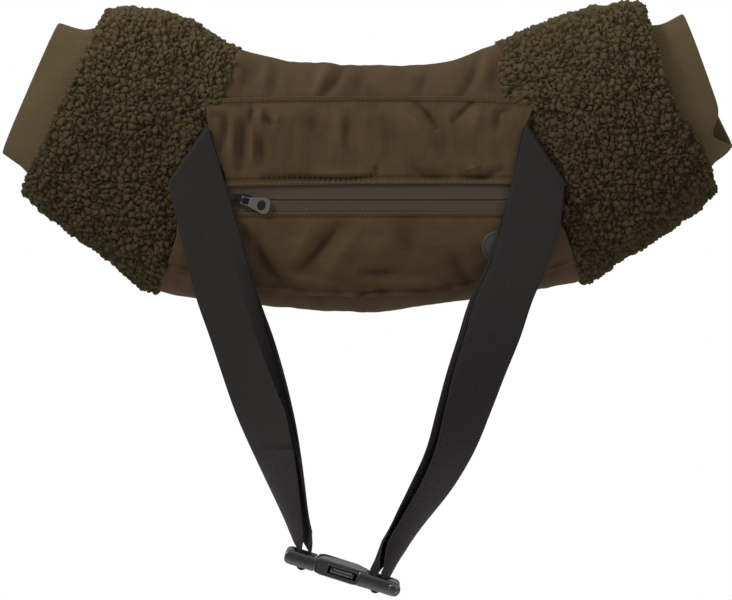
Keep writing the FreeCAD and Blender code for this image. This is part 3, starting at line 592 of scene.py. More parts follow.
def floor_mat():
    m = Mat("floor")
    ob = m.coords()
    n = m.noise(ob, 1.2, 2, 0.5)
    c = m.ramp(n, [(0.3, (0.93, 0.93, 0.93)), (0.7, (0.95, 0.95, 0.95))])
    return m.out(c, 0.95, spec=0.0)


fl = bpy.data.meshes.new("floor")
S = 5.2
fl.from_pydata([(-S, -S, -0.75), (S, -S, -0.75), (S, S, -0.75), (-S, S, -0.75)], [], [(0, 1, 2, 3)])
floor = bpy.data.objects.new("floor", fl)
scene.collection.objects.link(floor)
fl.materials.append(floor_mat())


# ---------------------------------------------------------------------------
# surfaces of the tube
# ---------------------------------------------------------------------------
def locate(x, z):
    """Station and in-plane height of a point on the front, from x and z."""
    xs = np.array(x, float).copy()
    for _ in range(12):
        zc, tilt, half, depth = station(xs)
        u = (z - zc) / np.cos(np.radians(tilt))
        xs = x - u * np.sin(np.radians(tilt))
    return xs, u, half


def front_y(x, z, lift, body_depth=33.2):
    """Depth of the front surface of the body, lifted by lift, at x and z."""
    xs, u, half = locate(x, z)
    hh = half + 0.3 + 0.05 * lift
    r = np.clip(np.abs(u) / hh, 0, 0.999)
    return -(body_depth + lift) * (1 - r ** POWER) ** (1 / POWER)


def front_normal(x, z, lift):
    e = 0.6
    dydx = (front_y(x + e, z, lift) - front_y(x - e, z, lift)) / (2 * e)
    dydz = (front_y(x, z + e, lift) - front_y(x, z - e, lift)) / (2 * e)
    n = np.stack([dydx, -np.ones_like(dydx), dydz], -1)
    return n / np.linalg.norm(n, axis=-1, keepdims=True)


def wrinkle(P, amp, sx, sz, seed):
    """Soft folds; sx and sz are the sizes of the folds along x and z."""
    Q = P.copy()
    Q[..., 0] = P[..., 0] / sx
    Q[..., 1] = P[..., 1] / 60.0
    Q[..., 2] = P[..., 2] / sz
    a = vnoise(Q, 1.0, seed)
    b = vnoise(Q * 2.1, 1.0, seed + 7.3)
    r = 1 - np.abs(vnoise(Q * 1.3, 1.0, seed + 3.1)) * 2.2
    return amp * (0.55 * a + 0.25 * b + 0.30 * r)


UPPER_FOLDS = [
    ([(-80.3, 58.1), (-81.2, 45.8)], 2.4, -1.7),
    ([(-74.5, 53.2), (-74.9, 46.7)], 4.0, 1.4),
    ([(-70.3, 50.8), (-66.3, 44.1)], 2.6, -1.6),
    ([(-62.3, 51.1), (-63.3, 44.1)], 3.5, 1.1),
    ([(-86.1, 46.7), (-87.3, 14.3)], 4.0, -1.8),
    ([(-95.2, 44.1), (-94.3, 17.8)], 4.2, 1.1),
    ([(-73.3, 35.3), (-72.4, 17.8)], 3.5, -1.6),
    ([(-79.8, 38.8), (-80.1, 16.1)], 3.0, 1.0),
    ([(-105.7, 50.8), (-98.7, 48.5), (-98.3, 37.1), (-101.8, 26.6)], 3.0, -1.5),
    ([(-12.6, 52.0), (-13.8, 28.3)], 3.2, -0.8),
    ([(-19.6, 51.1), (-19.9, 26.6)], 5.0, 1.0),
    ([(35.2, 59.5), (42.2, 52.8), (49.2, 42.0)], 2.7, -1.7),
    ([(29.0, 51.1), (40.4, 38.0)], 6.0, 0.9),
    ([(77.2, 62.5), (67.5, 54.6), (61.4, 47.2)], 2.7, -1.8),
    ([(78.4, 54.6), (72.8, 38.8)], 5.0, 1.2),
    ([(98.2, 55.5), (92.4, 52.0), (92.0, 42.3)], 2.6, -1.4),
    ([(-70.7, 6.5), (-46.2, 7.0), (-18.2, 5.2), (4.5, 8.2), (7.2, 12.9)], 2.3, -1.7),
    ([(-33.9, 10.5), (-0.7, 10.5)], 3.5, 1.0),
    ([(34.3, 14.3), (41.3, 9.1), (57.0, 8.2)], 4.0, -1.4),
    ([(74.2, 14.7), (74.9, 12.6)], 4.5, 1.5),
    ([(67.5, 8.2), (81.5, 7.3), (93.8, 12.6)], 3.5, -1.7),
    ([(-40.9, 49.3), (-33.9, 38.8)], 6.0, -0.9),
    ([(13.6, 42.3), (14.2, 28.3)], 7.0, -0.8),
    ([(-1.6, 44.1), (-0.7, 26.6)], 6.0, 0.7),
    ([(55.3, 37.1), (51.8, 21.3)], 6.0, -0.8),
]
TOP_FOLDS = [
    ([(-17.8, 84.0), (-20.8, 77.3), (-30.8, 64.2)], 3.0, -1.9),
    ([(-28.7, 84.7), (-32.2, 75.6), (-37.8, 64.2)], 5.0, 1.6),
    ([(75.9, 88.7), (72.8, 77.3), (65.8, 64.2)], 4.0, -1.8),
    ([(83.6, 91.3), (81.5, 74.7)], 6.0, 1.5),
    ([(-84.3, 87.0), (-87.3, 68.6)], 4.0, -1.4),
    ([(-70.3, 87.0), (-71.6, 68.6)], 5.0, 1.2),
    ([(-63.7, 84.3), (-65.5, 67.7)], 4.0, -1.0),
    ([(42.2, 83.5), (36.0, 67.7)], 5.0, -1.1),
    ([(16.8, 84.3), (14.2, 66.8)], 7.0, 0.8),
    ([(-4.2, 82.6), (-5.9, 66.8)], 6.0, -0.7),
    ([(90.3, 86.1), (86.8, 68.6)], 4.0, -0.9),
]
LOWER_FOLDS = [
    ([(-19.4, -27.1), (-29.9, -39.9), (-45.0, -56.2)], 5.0, -1.8),
    ([(-36.9, -24.7), (-50.9, -46.9)], 6.0, 1.0),
    ([(-8.9, -34.1), (-28.7, -59.7)], 6.0, 1.0),
    ([(-77.0, -37.6), (-69.5, -53.9), (-56.7, -67.4)], 5.0, -1.8),
    ([(-1.9, -59.7), (21.5, -58.6)], 4.0, -1.4),
    ([(-13.5, -80.0), (-1.9, -74.4), (17.3, -71.2)], 2.2, -1.4),
    ([(35.5, -73.0), (47.1, -73.0), (62.3, -71.4)], 2.6, -1.4),
    ([(58.8, -46.9), (68.6, -63.7)], 6.0, -1.1),
    ([(30.8, -25.9), (26.6, -46.9)], 8.0, -0.8),
    ([(9.8, -32.9), (5.1, -49.2)], 8.0, 0.8),
    ([(-88.2, -25.9), (-81.2, -37.6)], 5.0, -1.2),
    ([(-53.2, -62.1), (-20.5, -66.7)], 3.0, 1.0),
    ([(12.1, -66.7), (49.5, -65.1)], 3.0, 0.9),
]


def folds(X, Z, items, thin=1.0):
    """Creases and swells of the cloth along short lines."""
    w = np.zeros_like(X)
    for pts, wide, amp in items:
        wide = wide * thin
        L = spline([(a, b, 0.0) for a, b in pts], 24)[:, :2]
        lo_, hi_ = L.min(0) - 4 * wide, L.max(0) + 4 * wide
        m = (X > lo_[0]) & (X < hi_[0]) & (Z > lo_[1]) & (Z < hi_[1])
        if not m.any():
            continue
        q = np.stack([X[m], Z[m]], -1)
        d = np.linalg.norm(q[:, None] - L[None], axis=2)
        j = d.argmin(1)
        k = j / 23.0
        taper = 0.35 + 0.65 * np.sin(np.pi * np.clip(k, 0.04, 0.96)) ** 0.7
        w[m] += amp * taper * np.exp(-(d[np.arange(len(j)), j] / wide) ** 2)
    return w


def torus_piece(name, rings, mat, attrs=None, uv=None):
    """Closed piece from rings that run along the outside and back inside."""
    R, C, _ = rings.shape
    q = grid_quads(R, C, True, True)
    ob = make_object(name, rings, q, mat, attrs, uv)
    return fix_normals(ob)


# --- woven body ------------------------------------------------------------
def build_body():
    nx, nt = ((90, 260))
    t, per = even_angles(nt, 87, 34)
    xs = np.linspace(-119.0, 123.6, nx)
    rings = []
    for x in xs:
        z, tilt, half, depth = station(x)
        rings.append(ring_points(x, z, tilt, half, depth + 0.2, t))
    P = np.array(rings)
    N = normals_of(P)
    if (N[nx // 2, :, :] * (P[nx // 2] - P[nx // 2].mean(0))).sum() < 0:
        N = -N
    front = smoothstep(5, -12, P[..., 1])
    w = wrinkle(P, 1.5, 34, 46, 2.0) + wrinkle(P, 0.8, 14, 40, 9.0) * (0.4 + 0.6 * front)
    # gathers run in from the cuff seams
    xsn = np.linspace(0, 1, nx)[:, None]
    near = np.exp(-np.minimum(xsn, 1 - xsn) * 14)
    arc = np.linspace(0, per, nt, endpoint=False)[None, :]
    w = w + near * 1.0 * np.sin(arc / 11.0 + 2.2 * np.sin(arc / 37.0))
    # the hem seam near the bottom pulls in
    zc = P[..., 2]
    hem = np.interp(P[..., 0], [-145, -110, -74, -40, 0, 40, 76, 120, 147],
                    [-54, -64, -70.7, -75, -76.3, -74.5, -69, -62, -52])
    w = w - 0.9 * np.exp(-((zc - hem) / 2.2) ** 2) * smoothstep(0, -10, P[..., 1])
    w = w + 0.7 * np.exp(-((zc - hem + 6) / 4.0) ** 2) * np.sin(P[..., 0] / 6.5) * front
    # press back under the front layers
    top_seam = np.interp(P[..., 0], [-113, -60, 0, 60, 120], [62, 64, 64.6, 64.2, 61.8])
    covered = smoothstep(top_seam - 1, top_seam - 6, zc) * smoothstep(hem - 1, hem + 5, zc) * front
    TF = folds(P[..., 0], zc, TOP_FOLDS) * front
    small = wrinkle(P, 1.25, 13, 24, 41.0)
    w = 0.8 * w + 1.9 * TF + 0.7 * small
    w = np.where(w < -0.4, -0.4 + (w + 0.4) * 0.45, w)
    w = np.clip(w, -2.4, 5.0)
    w = w * (1 - covered) - 1.2 * covered
    # painted shade for the creases and painted light for the crests of the folds, passed to the material as the fold
    # attribute
    fold_shading = 0.4 * TF + 0.4 * folds(P[..., 0], zc, TOP_FOLDS, 0.5) + 0.5 * small
    fold_shading = np.clip(fold_shading, -1.2, 1.2) * (1 - covered) * front
    P = P + N * w[..., None]
    inner = P[::-1] - N[::-1] * 1.6
    rows = np.concatenate([P, inner])
    uu = np.concatenate([xs, xs[::-1]])
    UV = np.stack(np.broadcast_arrays(uu[:, None], arc), -1)
    ob = torus_piece("shell_cloth", rows, M_shell, uv=UV,
                     attrs={"fold": np.concatenate([fold_shading, fold_shading[::-1]])})
    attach(ob, "muff")
    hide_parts("shell_front", "shell_back")
    return ob


build_body()


# --- sherpa fleece cuffs -----------------------------------------------------
def sherpa(P, N, cell, amp, seed, fade):
    """Tight round curls pushed out along N, with narrow crevices between.
    Returns moved points and the height of the curls, 0 to 1."""
    Q = P.reshape(-1, 3)
    out = np.zeros(len(Q))
    shift = Vector((seed * 3.1, seed * 1.7, seed * 2.3))
    for i, q in enumerate(Q):
        v = Vector(q)
        w = noise.noise_vector(v / 3.4 + shift)
        w2 = noise.noise_vector(v / 1.5 - shift)
        p = (v + w * 1.7 + w2 * 0.85) / cell + shift
        d, _ = noise.voronoi(p, distance_metric="DISTANCE")
        e = d[1] - d[0]
        soft = noise.noise(v / 5.2 - shift)
        dome = 1.0 - math.exp(-e * (6.6 + 5.0 * soft))
        crown = max(0.0, 1.0 - (d[0] / 0.95) ** 2)
        sub = noise.noise(v / 1.35 + shift)
        sub2 = abs(noise.noise(v / 2.3 - shift * 1.3))
        out[i] = dome * (0.55 + 0.45 * crown) * (0.86 + 0.24 * sub) - 0.30 * max(0.0, 0.16 - sub2) / 0.16
    h = out.reshape(P.shape[:-1])
    big = vnoise(P, 9.5, seed + 5.0)
    mid = vnoise(P, 4.4, seed + 9.0)
    fine = vnoise(P, 1.5, seed + 13.0)
    lump = np.clip(h * 1.12 + 0.10 * mid + 0.05 * fine, 0, 1)
    push = amp * (h - 0.52) + 1.2 * big + 0.8 * mid + 0.42 * fine
    return P + N * (push * fade)[..., None], lump


def build_fleece(side):
    s = 1 if side == "right" else -1
    step = 0.72
    seam = STATIONS["seamR" if s > 0 else "seamL"]
    end = STATIONS["furR_end" if s > 0 else "furL_end"]
    x_seam, x_end = seam[0], end[0]
    t, per = even_angles(int(430 / step), 85, 35)
    # rings: (x, z, tilt, half, depth, axial) where axial is along the tube
    rows = []
    length = 106.0
    n_out = int(length / step)
    for k in np.linspace(0, 1, n_out):
        x = x_seam + (x_end - x_seam) * k
        z, tilt, half, depth = [float(v) for v in station(x)]
        # rounds up at the seam
        r = 1 - (1 - min(1.0, k * length / 2.8)) ** 2
        g = 0.3 + 2.4 * math.sqrt(max(0.0, r)) - 1.3 * smoothstep(0.05, 0.35, k)
        # stands fuller towards its open edge
        g += 3.3 * smoothstep(0.78, 1.0, k)
        rows.append((x, z, tilt, half + g, depth + g + 0.4, 0.0))
    x, z, tilt, half, depth, _ = rows[-1]
    rr = 4.2
    n_turn = int(rr * 1.57 / step)
    for k in range(1, n_turn + 1):
        a = math.pi / 2 * k / n_turn
        rows.append((x, z, tilt, half - rr * (1 - math.cos(a)), depth - rr * (1 - math.cos(a)),
                     4.2 * math.sin(a)))
    hr, dr = half - rr, depth - rr
    root = STATIONS["ribR_root" if s > 0 else "ribL_root"]
    h2, d2 = root[2] - 1.2, root[4] - 1.2
    n_in = max(6, int((hr - h2) / (step * 1.3)))
    for k in range(1, n_in + 1):
        f = k / n_in
        rows.append((x, z, tilt, hr + (h2 - hr) * f, dr + (d2 - dr) * f, 4.2 - 5.0 * f ** 1.6))
    n_front = len(rows)
    # back inside, few rings
    for k in np.linspace(0.97, 0.0, 7):
        x = x_seam + (x_end - x_seam) * k
        z, tilt, half, depth = [float(v) for v in station(x)]
        rows.append((x, z, tilt, half - 5.0, depth - 5.0, 0.0))
    P = []
    for x, z, tilt, half, depth, ax in rows:
        a = math.radians(tilt)
        ring = ring_points(x, z, tilt, half, depth, t)
        ring = ring + np.array([math.cos(a), 0, -math.sin(a)]) * ax * s
        P.append(ring)
    P = np.array(P)
    # the open edge wanders in and out
    a = math.radians(end[3])
    axis = np.array([math.cos(a), 0, -math.sin(a)]) * s
    ww = 1.7 * vnoise(P[n_out - 1], 13, 21.0 + s) + 1.2 * vnoise(P[n_out - 1], 5.5, 31.0 + s)
    if s > 0:
        # the right cuff's edge is drawn back across its front
        zz = P[n_out - 1][:, 2] - 62.8
        ww = ww - 6.5 * np.exp(-((zz - 2) / 27.0) ** 2) * smoothstep(2, -12, P[n_out - 1][:, 1])
    along = np.zeros(len(rows))
    along[:n_out] = smoothstep(0.5, 1.0, np.linspace(0, 1, n_out))
    along[n_out:n_front] = 1.0
    P = P + axis * (along[:, None] * ww[None])[..., None]
    # and the curls at the seam spill over the body by uneven amounts
    a0 = math.radians(seam[3])
    axis0 = np.array([math.cos(a0), 0, -math.sin(a0)]) * s
    spill = 2.0 + 1.5 * vnoise(P[0], 4.2, 51.0 + s) + 1.0 * vnoise(P[0], 9.0, 57.0 + s)
    if s > 0:
        z0 = P[0][:, 2]
        spill = spill + (2.0 + 7.0 * smoothstep(105, 66, z0)) * smoothstep(20, 55, z0) * smoothstep(4, -10, P[0][:, 1])
    near0 = np.zeros(len(rows))
    near0[:n_out] = smoothstep(0.075, 0.0, np.linspace(0, 1, n_out))
    near0[-2:] = 1.0
    P = P - axis0 * (near0[:, None] * np.clip(spill, 0.4, 13.0)[None])[..., None]
    N = normals_of(P[:n_front])
    mid = n_out // 2
    if (N[mid] * (P[mid] - P[mid].mean(0))).sum() < 0:
        N = -N
    F = P[:n_front]
    # broad swells and hollows of the soft cuff
    swell = 1.6 * vnoise(F, 46, 3.0 + s) + 1.2 * vnoise(F, 22, 8.0 + s)
    if s > 0:
        # a pinched fold runs down from the strap towards the lower edge
        line = spline([(130.9, 8.4, 0), (150.5, -19.6, 0), (165.2, -43.4, 0)], 60)[:, :2]
        X = F[..., [0, 2]].reshape(-1, 2)
        d = np.linalg.norm(X[:, None, :] - line[None], axis=2)
        j = d.argmin(1)
        dist = d[np.arange(len(X)), j]
        tang = np.gradient(line, axis=0)[j]
        side_of = np.sign((X - line[j])[:, 0] * -tang[:, 1] + (X - line[j])[:, 1] * tang[:, 0])
        sd = (dist * side_of).reshape(F.shape[:-1])
        ends = smoothstep(0, 6, j).reshape(F.shape[:-1]) * smoothstep(60, 50, j).reshape(F.shape[:-1])
        frontal = smoothstep(-8, -20, F[..., 1])
        pinch = 2.2 * np.exp(-((sd - 5) / 5.0) ** 2) - 3.0 * np.exp(-((sd + 3) / 3.4) ** 2)
        swell = swell + pinch * ends * frontal
    # the webbing presses the fleece down where it folds over
    zt, xt = F[..., 2], F[..., 0] * s
    press = smoothstep(-50, -38, -np.abs(zt - 8)) * smoothstep(148, 134, xt) * smoothstep(-10, -25, F[..., 1])
    F = F + N * (swell - 1.6 * press)[..., None]
    N2 = normals_of(F)
    N = N2 if (N[mid] * N2[mid]).sum() > 0 else -N2
    rowi = np.arange(n_front)[:, None]
    fade = np.clip(rowi / 2.0, 0.65, 1.0) * np.clip((n_front - 1 - rowi) / 4.0, 0.1, 1.0)
    fade = fade * np.where(press > 0.5, 0.8, 1.0)
    G, lump = sherpa(F, N, 4.5, 3.3, 1.7 * s, fade)
    P[:n_front] = G
    L = np.zeros(P.shape[:-1])
    L[:n_front] = lump
    ob = torus_piece("fleece_cuff_%s_pile" % side, P, M_fleece, attrs={"lump": L})
    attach(ob, "muff")
    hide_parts("fleece_cuff_" + side)
    return ob


for sd_ in ("left", "right"):
    build_fleece(sd_)


# --- rib-knit cuffs ----------------------------------------------------------
def build_rib(side):
    s = 1 if side == "right" else -1
    tag = "R" if s > 0 else "L"
    root, mid, tip = (STATIONS["rib%s_%s" % (tag, k)] for k in ("root", "mid", "end"))
    pitch = 1.75
    ribs = 148
    per_rib = 8
    nt = ribs * per_rib
    t, per = even_angles(nt, 55, 19)
    inward = -6.0
    a0 = math.radians(root[3])
    keys = []
    ax = np.array([math.cos(a0), -math.sin(a0)])
    start = (root[0] + ax[0] * inward * s, root[1] + ax[1] * inward * s)
    rows = [(start[0], start[1], root[3], root[2] - 0.5, root[4] - 0.5),
            root[:2] + (root[3], root[2], root[4])]
    rows = [tuple(r) for r in rows]
    pts = [np.array(rows[0]), np.array([root[0], root[1], root[3], root[2], root[4]]),
           np.array([mid[0], mid[1], mid[3], mid[2], mid[4]]),
           np.array([tip[0], tip[1], tip[3], tip[2], tip[4]])]
    n_out = 44
    line = np.array(pts)
    dd = np.concatenate([[0], np.cumsum(np.hypot(np.diff(line[:, 0]), np.diff(line[:, 1])))])
    at = np.linspace(0, dd[-1], n_out)
    prof = np.stack([hermite(dd, line[:, k], at) for k in range(5)], 1)
    wall = 2.5
    out = []
    att = []
    arc = np.arange(nt) / nt * ribs * 2 * np.pi
    rib = 0.5 + 0.5 * np.cos(arc)
    for i, (x, z, tilt, half, depth) in enumerate(prof):
        grow = 0.34 * (rib ** 0.7) - 0.2
        out.append(ring_points(x, z, tilt, half + grow, depth + grow, t, None))
        att.append(rib)
    # rolled rim of the doubled knit
    x, z, tilt, half, depth = prof[-1]
    a = math.radians(tilt)
    axis = np.array([math.cos(a), 0, -math.sin(a)]) * s
    for k in range(1, 8):
        b = math.pi * k / 8
        g = (0.34 * (rib ** 0.7) - 0.2) * math.cos(b)
        off = wall / 2 * (1 - math.cos(b))
        out.append(ring_points(x, z, tilt, half - off + g, depth - off + g, t, None)
                   + axis * (wall / 2 * 1.1) * math.sin(b))
        att.append(rib)
    for i in list(range(n_out - 1, -1, -3)):
        x, z, tilt, half, depth = prof[i]
        grow = -wall - (0.45 * (rib ** 0.7) - 0.25)
        out.append(ring_points(x, z, tilt, half + grow, depth + grow, t, None))
        att.append(rib)
    P = np.array(out)
    A = np.array(att)
    if s > 0:
        # the lower front corner of the rim curls back and opens
        tc = np.cos(t)
        half_e, dep_e = tip[2], tip[4]
        uu_ = half_e * sgnpow(tc, 2 / POWER)
        vv_ = dep_e * sgnpow(np.sin(t), 2 / POWER)
        front_ = smoothstep(-dep_e * 0.55, dep_e * 0.75, vv_)
        bump_ = np.exp(-((uu_ + half_e * 0.80) / (half_e * 0.17)) ** 2) * front_
        drop_ = smoothstep(-0.45, -1.0, uu_ / half_e)
        along_ = np.zeros(P.shape[0])
        rim0 = n_out + 7
        along_[:n_out] = smoothstep(0.25, 1.0, np.linspace(0, 1, n_out)) ** 1.4
        along_[n_out:rim0] = 1.0
        along_[rim0:] = np.linspace(1.0, 0.0, P.shape[0] - rim0) ** 1.5
        a_ = math.radians(tip[3])
        back_ = np.array([-math.cos(a_), 0, math.sin(a_)])
        up_ = np.array([math.sin(a_), 0, math.cos(a_)])
        amt = along_[:, None] * bump_[None]
        P = P + amt[..., None] * (back_ * 11.5 + np.array([0, -1.5, 0]))
        P = P + (along_[:, None] * drop_[None])[..., None] * (up_ * -5.5 - back_ * 2.0)
    # soft hand of the knit: slight waves
    w = 1.3 * vnoise(P, 34, 4.0 * s) + 0.5 * vnoise(P, 15, 2.0 * s)
    dirn = np.zeros_like(P)
    dirn[..., 1] = np.sign(P[..., 1])
    P = P + dirn * (w * smoothstep(2, 10, np.abs(P[..., 1])))[..., None]
    UV = np.stack(np.broadcast_arrays(np.arange(P.shape[0])[:, None] * 1.2, arc[None] / 2), -1)
    ob = torus_piece("rib_cuff_%s_knit" % side, P, M_rib, attrs={"rib": A}, uv=UV)
    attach(ob, "muff")
    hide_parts("rib_cuff_" + side)
    return ob


for sd_ in ("left", "right"):
    build_rib(sd_)


# --- front panels --------------------------------------------------------------
def sheet_piece(name, P, thick, mat, uv, back_dir, fold_shading=None):
    """Closed thin sheet from a grid of front points."""
    R, C, _ = P.shape
    Q = P + back_dir * thick
    verts = np.concatenate([P.reshape(-1, 3), Q.reshape(-1, 3)])
    q = grid_quads(R, C, False, False)
    n = R * C
    back = q[:, ::-1] + n
    rim = []
    idx = np.arange(n).reshape(R, C)
    loop = list(idx[0]) + list(idx[1:, -1]) + list(idx[-1, -2::-1]) + list(idx[-2:0:-1, 0])
    for i in range(len(loop)):
        a, b = loop[i], loop[(i + 1) % len(loop)]
        rim.append((b, a, a + n, b + n))
    quads = np.concatenate([q, back, np.array(rim)])
    UV = np.concatenate([uv.reshape(-1, 2), uv.reshape(-1, 2)])
    attrs = None if fold_shading is None else {"fold": np.concatenate([fold_shading.ravel(), fold_shading.ravel()])}
    return fix_normals(make_object(name, verts, quads, mat, attrs, uv=UV))


def panel_grid(left, right, top, bottom, nx, nz):
    """Grid in x and z between curved edges. left/right: (z, x) pairs;
    top/bottom: (x, z) pairs."""
    u = np.linspace(0, 1, nx)
    v = np.linspace(0, 1, nz)
    lz, lx = zip(*sorted(left))
    rz, rx = zip(*sorted(right))
    tx, tz = zip(*sorted(top))
    bx, bz = zip(*sorted(bottom))
    X = np.zeros((nz, nx))
    Z = np.zeros((nz, nx))
    X[:] = np.linspace(-115, 120, nx)[None]
    for _ in range(8):
        zt = np.interp(X, tx, tz)
        zb = np.interp(X, bx, bz)
        Z = zb + (zt - zb) * v[:, None]
        xl = np.interp(Z, lz, lx)
        xr = np.interp(Z, rz, rx)
        X = xl + (xr - xl) * u[None]
    return X, Z


def build_panels():
    nx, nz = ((330, 96))
    left = [(62.2, -112.7), (42.0, -109.9), (24.0, -104.5), (9.0, -98.7), (0.0, -98.0)]
    right = [(61.8, 119.7), (42.0, 110.6), (18.0, 106.0), (0.0, 104.0)]
    top = [(-112.7, 62.2), (-60, 64.0), (0, 64.6), (60, 64.2), (119.7, 61.8)]
    bottom = [(-112, 0.2), (-60, 1.4), (0, 2.4), (50, 2.6), (110, 2.2)]
    X, Z = panel_grid(left, right, top, bottom, nx, nz)
    lift = 5.9 - 4.4 * smoothstep(46, 63, Z)
    Y = front_y(X, Z, lift)
    P = np.stack([X, Y, Z], -1)
    N = front_normal(X, Z, 5.0)
    topd = np.interp(X, *zip(*sorted(top))) - Z
    botd = Z - np.interp(X, *zip(*sorted(bottom)))
    # soft folds, drawn in by the top and bottom seams
    hold = smoothstep(0, 9, topd) * smoothstep(0, 7, botd)
    w = wrinkle(P, 1.9, 20, 64, 5.0) + wrinkle(P, 1.0, 9, 40, 15.0)
    F = folds(X, Z, UPPER_FOLDS)
    small = wrinkle(P, 1.0, 11, 26, 51.0)
    w = 0.55 * w + 1.75 * F + 0.8 * small
    w = w * hold
    # painted shade in the creases and painted light on the crests, plus painted shade in the grooves by the seams and
    # painted light on their ridges
    fold_shading = 0.38 * F + 0.45 * folds(X, Z, UPPER_FOLDS, 0.5) + 0.4 * small
    fold_shading = np.clip(fold_shading, -1.3, 1.3) * smoothstep(0, 4, topd)
    fold_shading = fold_shading - 0.75 * np.exp(-((topd - 3.6) / 1.3) ** 2) + 0.25 * np.exp(-((topd - 0.9) / 0.7) ** 2)
    fold_shading = fold_shading - 0.7 * np.exp(-((botd - 4.8) / 1.2) ** 2) + 0.45 * np.exp(-((botd - 1.2) / 1.1) ** 2)
    # seam ridge under the top edge and the turned lower edge
    w = w + 0.55 * np.exp(-((topd - 0.9) / 0.8) ** 2) - 0.7 * np.exp(-((topd - 3.4) / 1.1) ** 2)
    w = w + 0.45 * smoothstep(4.4, 3.6, botd) - 0.5 * np.exp(-((botd - 5.0) / 0.9) ** 2)
    edge = np.minimum(X - np.interp(Z, *zip(*sorted(left))), np.interp(Z, *zip(*sorted(right))) - X)
    w = w + 0.5 * np.exp(-(edge / 1.6) ** 2)
    floor_w = np.minimum(0.0, 3.75 - lift)
    w = np.where(w < floor_w * 0.6, floor_w * 0.6 + (w - floor_w * 0.6) * 0.35, w)
    w = np.maximum(w, floor_w)
    P = P + N * w[..., None]
    UV = np.stack([X, Z], -1)
    ob = sheet_piece("tunnel_panel", P, 0.9, M_panel, UV, -N, fold_shading)
    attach(ob, "muff")
    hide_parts("front_panel_upper")
    area_mm = 0.0
    UP = (X, Z, P, N)

    left = [(-17.0, -131.0), (-34.0, -132.5), (-56.0, -140.5)]
    right = [(-17.0, 129.0), (-30.0, 139.0), (-52.0, 147.0)]
    top = [(-131.0, -17.2), (129.0, -17.2)]
    bottom = [(-140.5, -56.0), (-110, -64), (-74, -70.7), (-40, -75), (0, -76.3), (40, -74.5),
              (76, -69), (120, -62), (147, -52)]
    X, Z = panel_grid(left, right, top, bottom, nx, nz)
    lift = 5.9 - 5.1 * smoothstep(-38, -74, Z) - 2.5 * smoothstep(100, 140, np.abs(X))
    Y = front_y(X, Z, lift)
    N = front_normal(X, Z, 4.0)
    P = np.stack([X, Y, Z], -1)
    topd = -17.2 - Z
    botd = Z - np.interp(X, *zip(*sorted(bottom)))
    hold = smoothstep(0, 8, topd) * smoothstep(0, 6, botd)
    w = wrinkle(P, 2.0, 48, 26, 21.0) + wrinkle(P, 0.8, 20, 12, 31.0)
    F = folds(X, Z, LOWER_FOLDS)
    small = wrinkle(P, 1.0, 22, 14, 61.0)
    w = 0.6 * w + 1.75 * F + 0.7 * small
    w = w * hold
    # painted shade in the creases and painted light on the crests, with painted shade and light in the grooves and
    # ridges by the seams and on the hem puckers
    fold_shading = np.clip(0.38 * F + 0.45 * folds(X, Z, LOWER_FOLDS, 0.5) + 0.4 * small, -1.3, 1.3)
    fold_shading = fold_shading - 0.6 * np.exp(-((topd - 3.6) / 1.0) ** 2) + 0.35 * np.exp(-((topd - 0.9) / 0.8) ** 2)
    fold_shading = fold_shading - 0.55 * np.exp(-((botd - 3.4) / 1.6) ** 2) + 0.30 * np.exp(-((botd - 1.0) / 1.0) ** 2)
    fold_shading = fold_shading + 0.4 * np.sin(X / 3.1 + 1.3 * np.sin(X / 11.0)) * np.exp(-(botd / 6.0) ** 2)
    w = w + 0.35 * smoothstep(3.2, 2.6, topd) - 0.45 * np.exp(-((topd - 3.9) / 0.8) ** 2)
    w = w + 0.6 * np.exp(-((botd - 1.2) / 1.0) ** 2)
    # puckers along the hem seam
    w = w + 0.55 * np.sin(X / 3.1 + 1.3 * np.sin(X / 11.0)) * np.exp(-(botd / 6.0) ** 2)
    w = np.maximum(w, np.minimum(0.0, 0.9 - lift))
    P = P + N * w[..., None]
    UV = np.stack([X, Z], -1)
    ob = sheet_piece("pocket_panel", P, 0.9, M_panel, UV, -N, fold_shading)
    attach(ob, "muff")
    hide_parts("front_panel_lower")
    return UP, (X, Z, P, N)


UPPER, LOWER = build_panels()


def on_panel(grid, x, z):
    """Point and normal on a built panel nearest to x and z."""
    X, Z, P, N = grid
    i = np.argmin((X - x) ** 2 + (Z - z) ** 2)
    i = np.unravel_index(i, X.shape)
    return P[i], N[i]


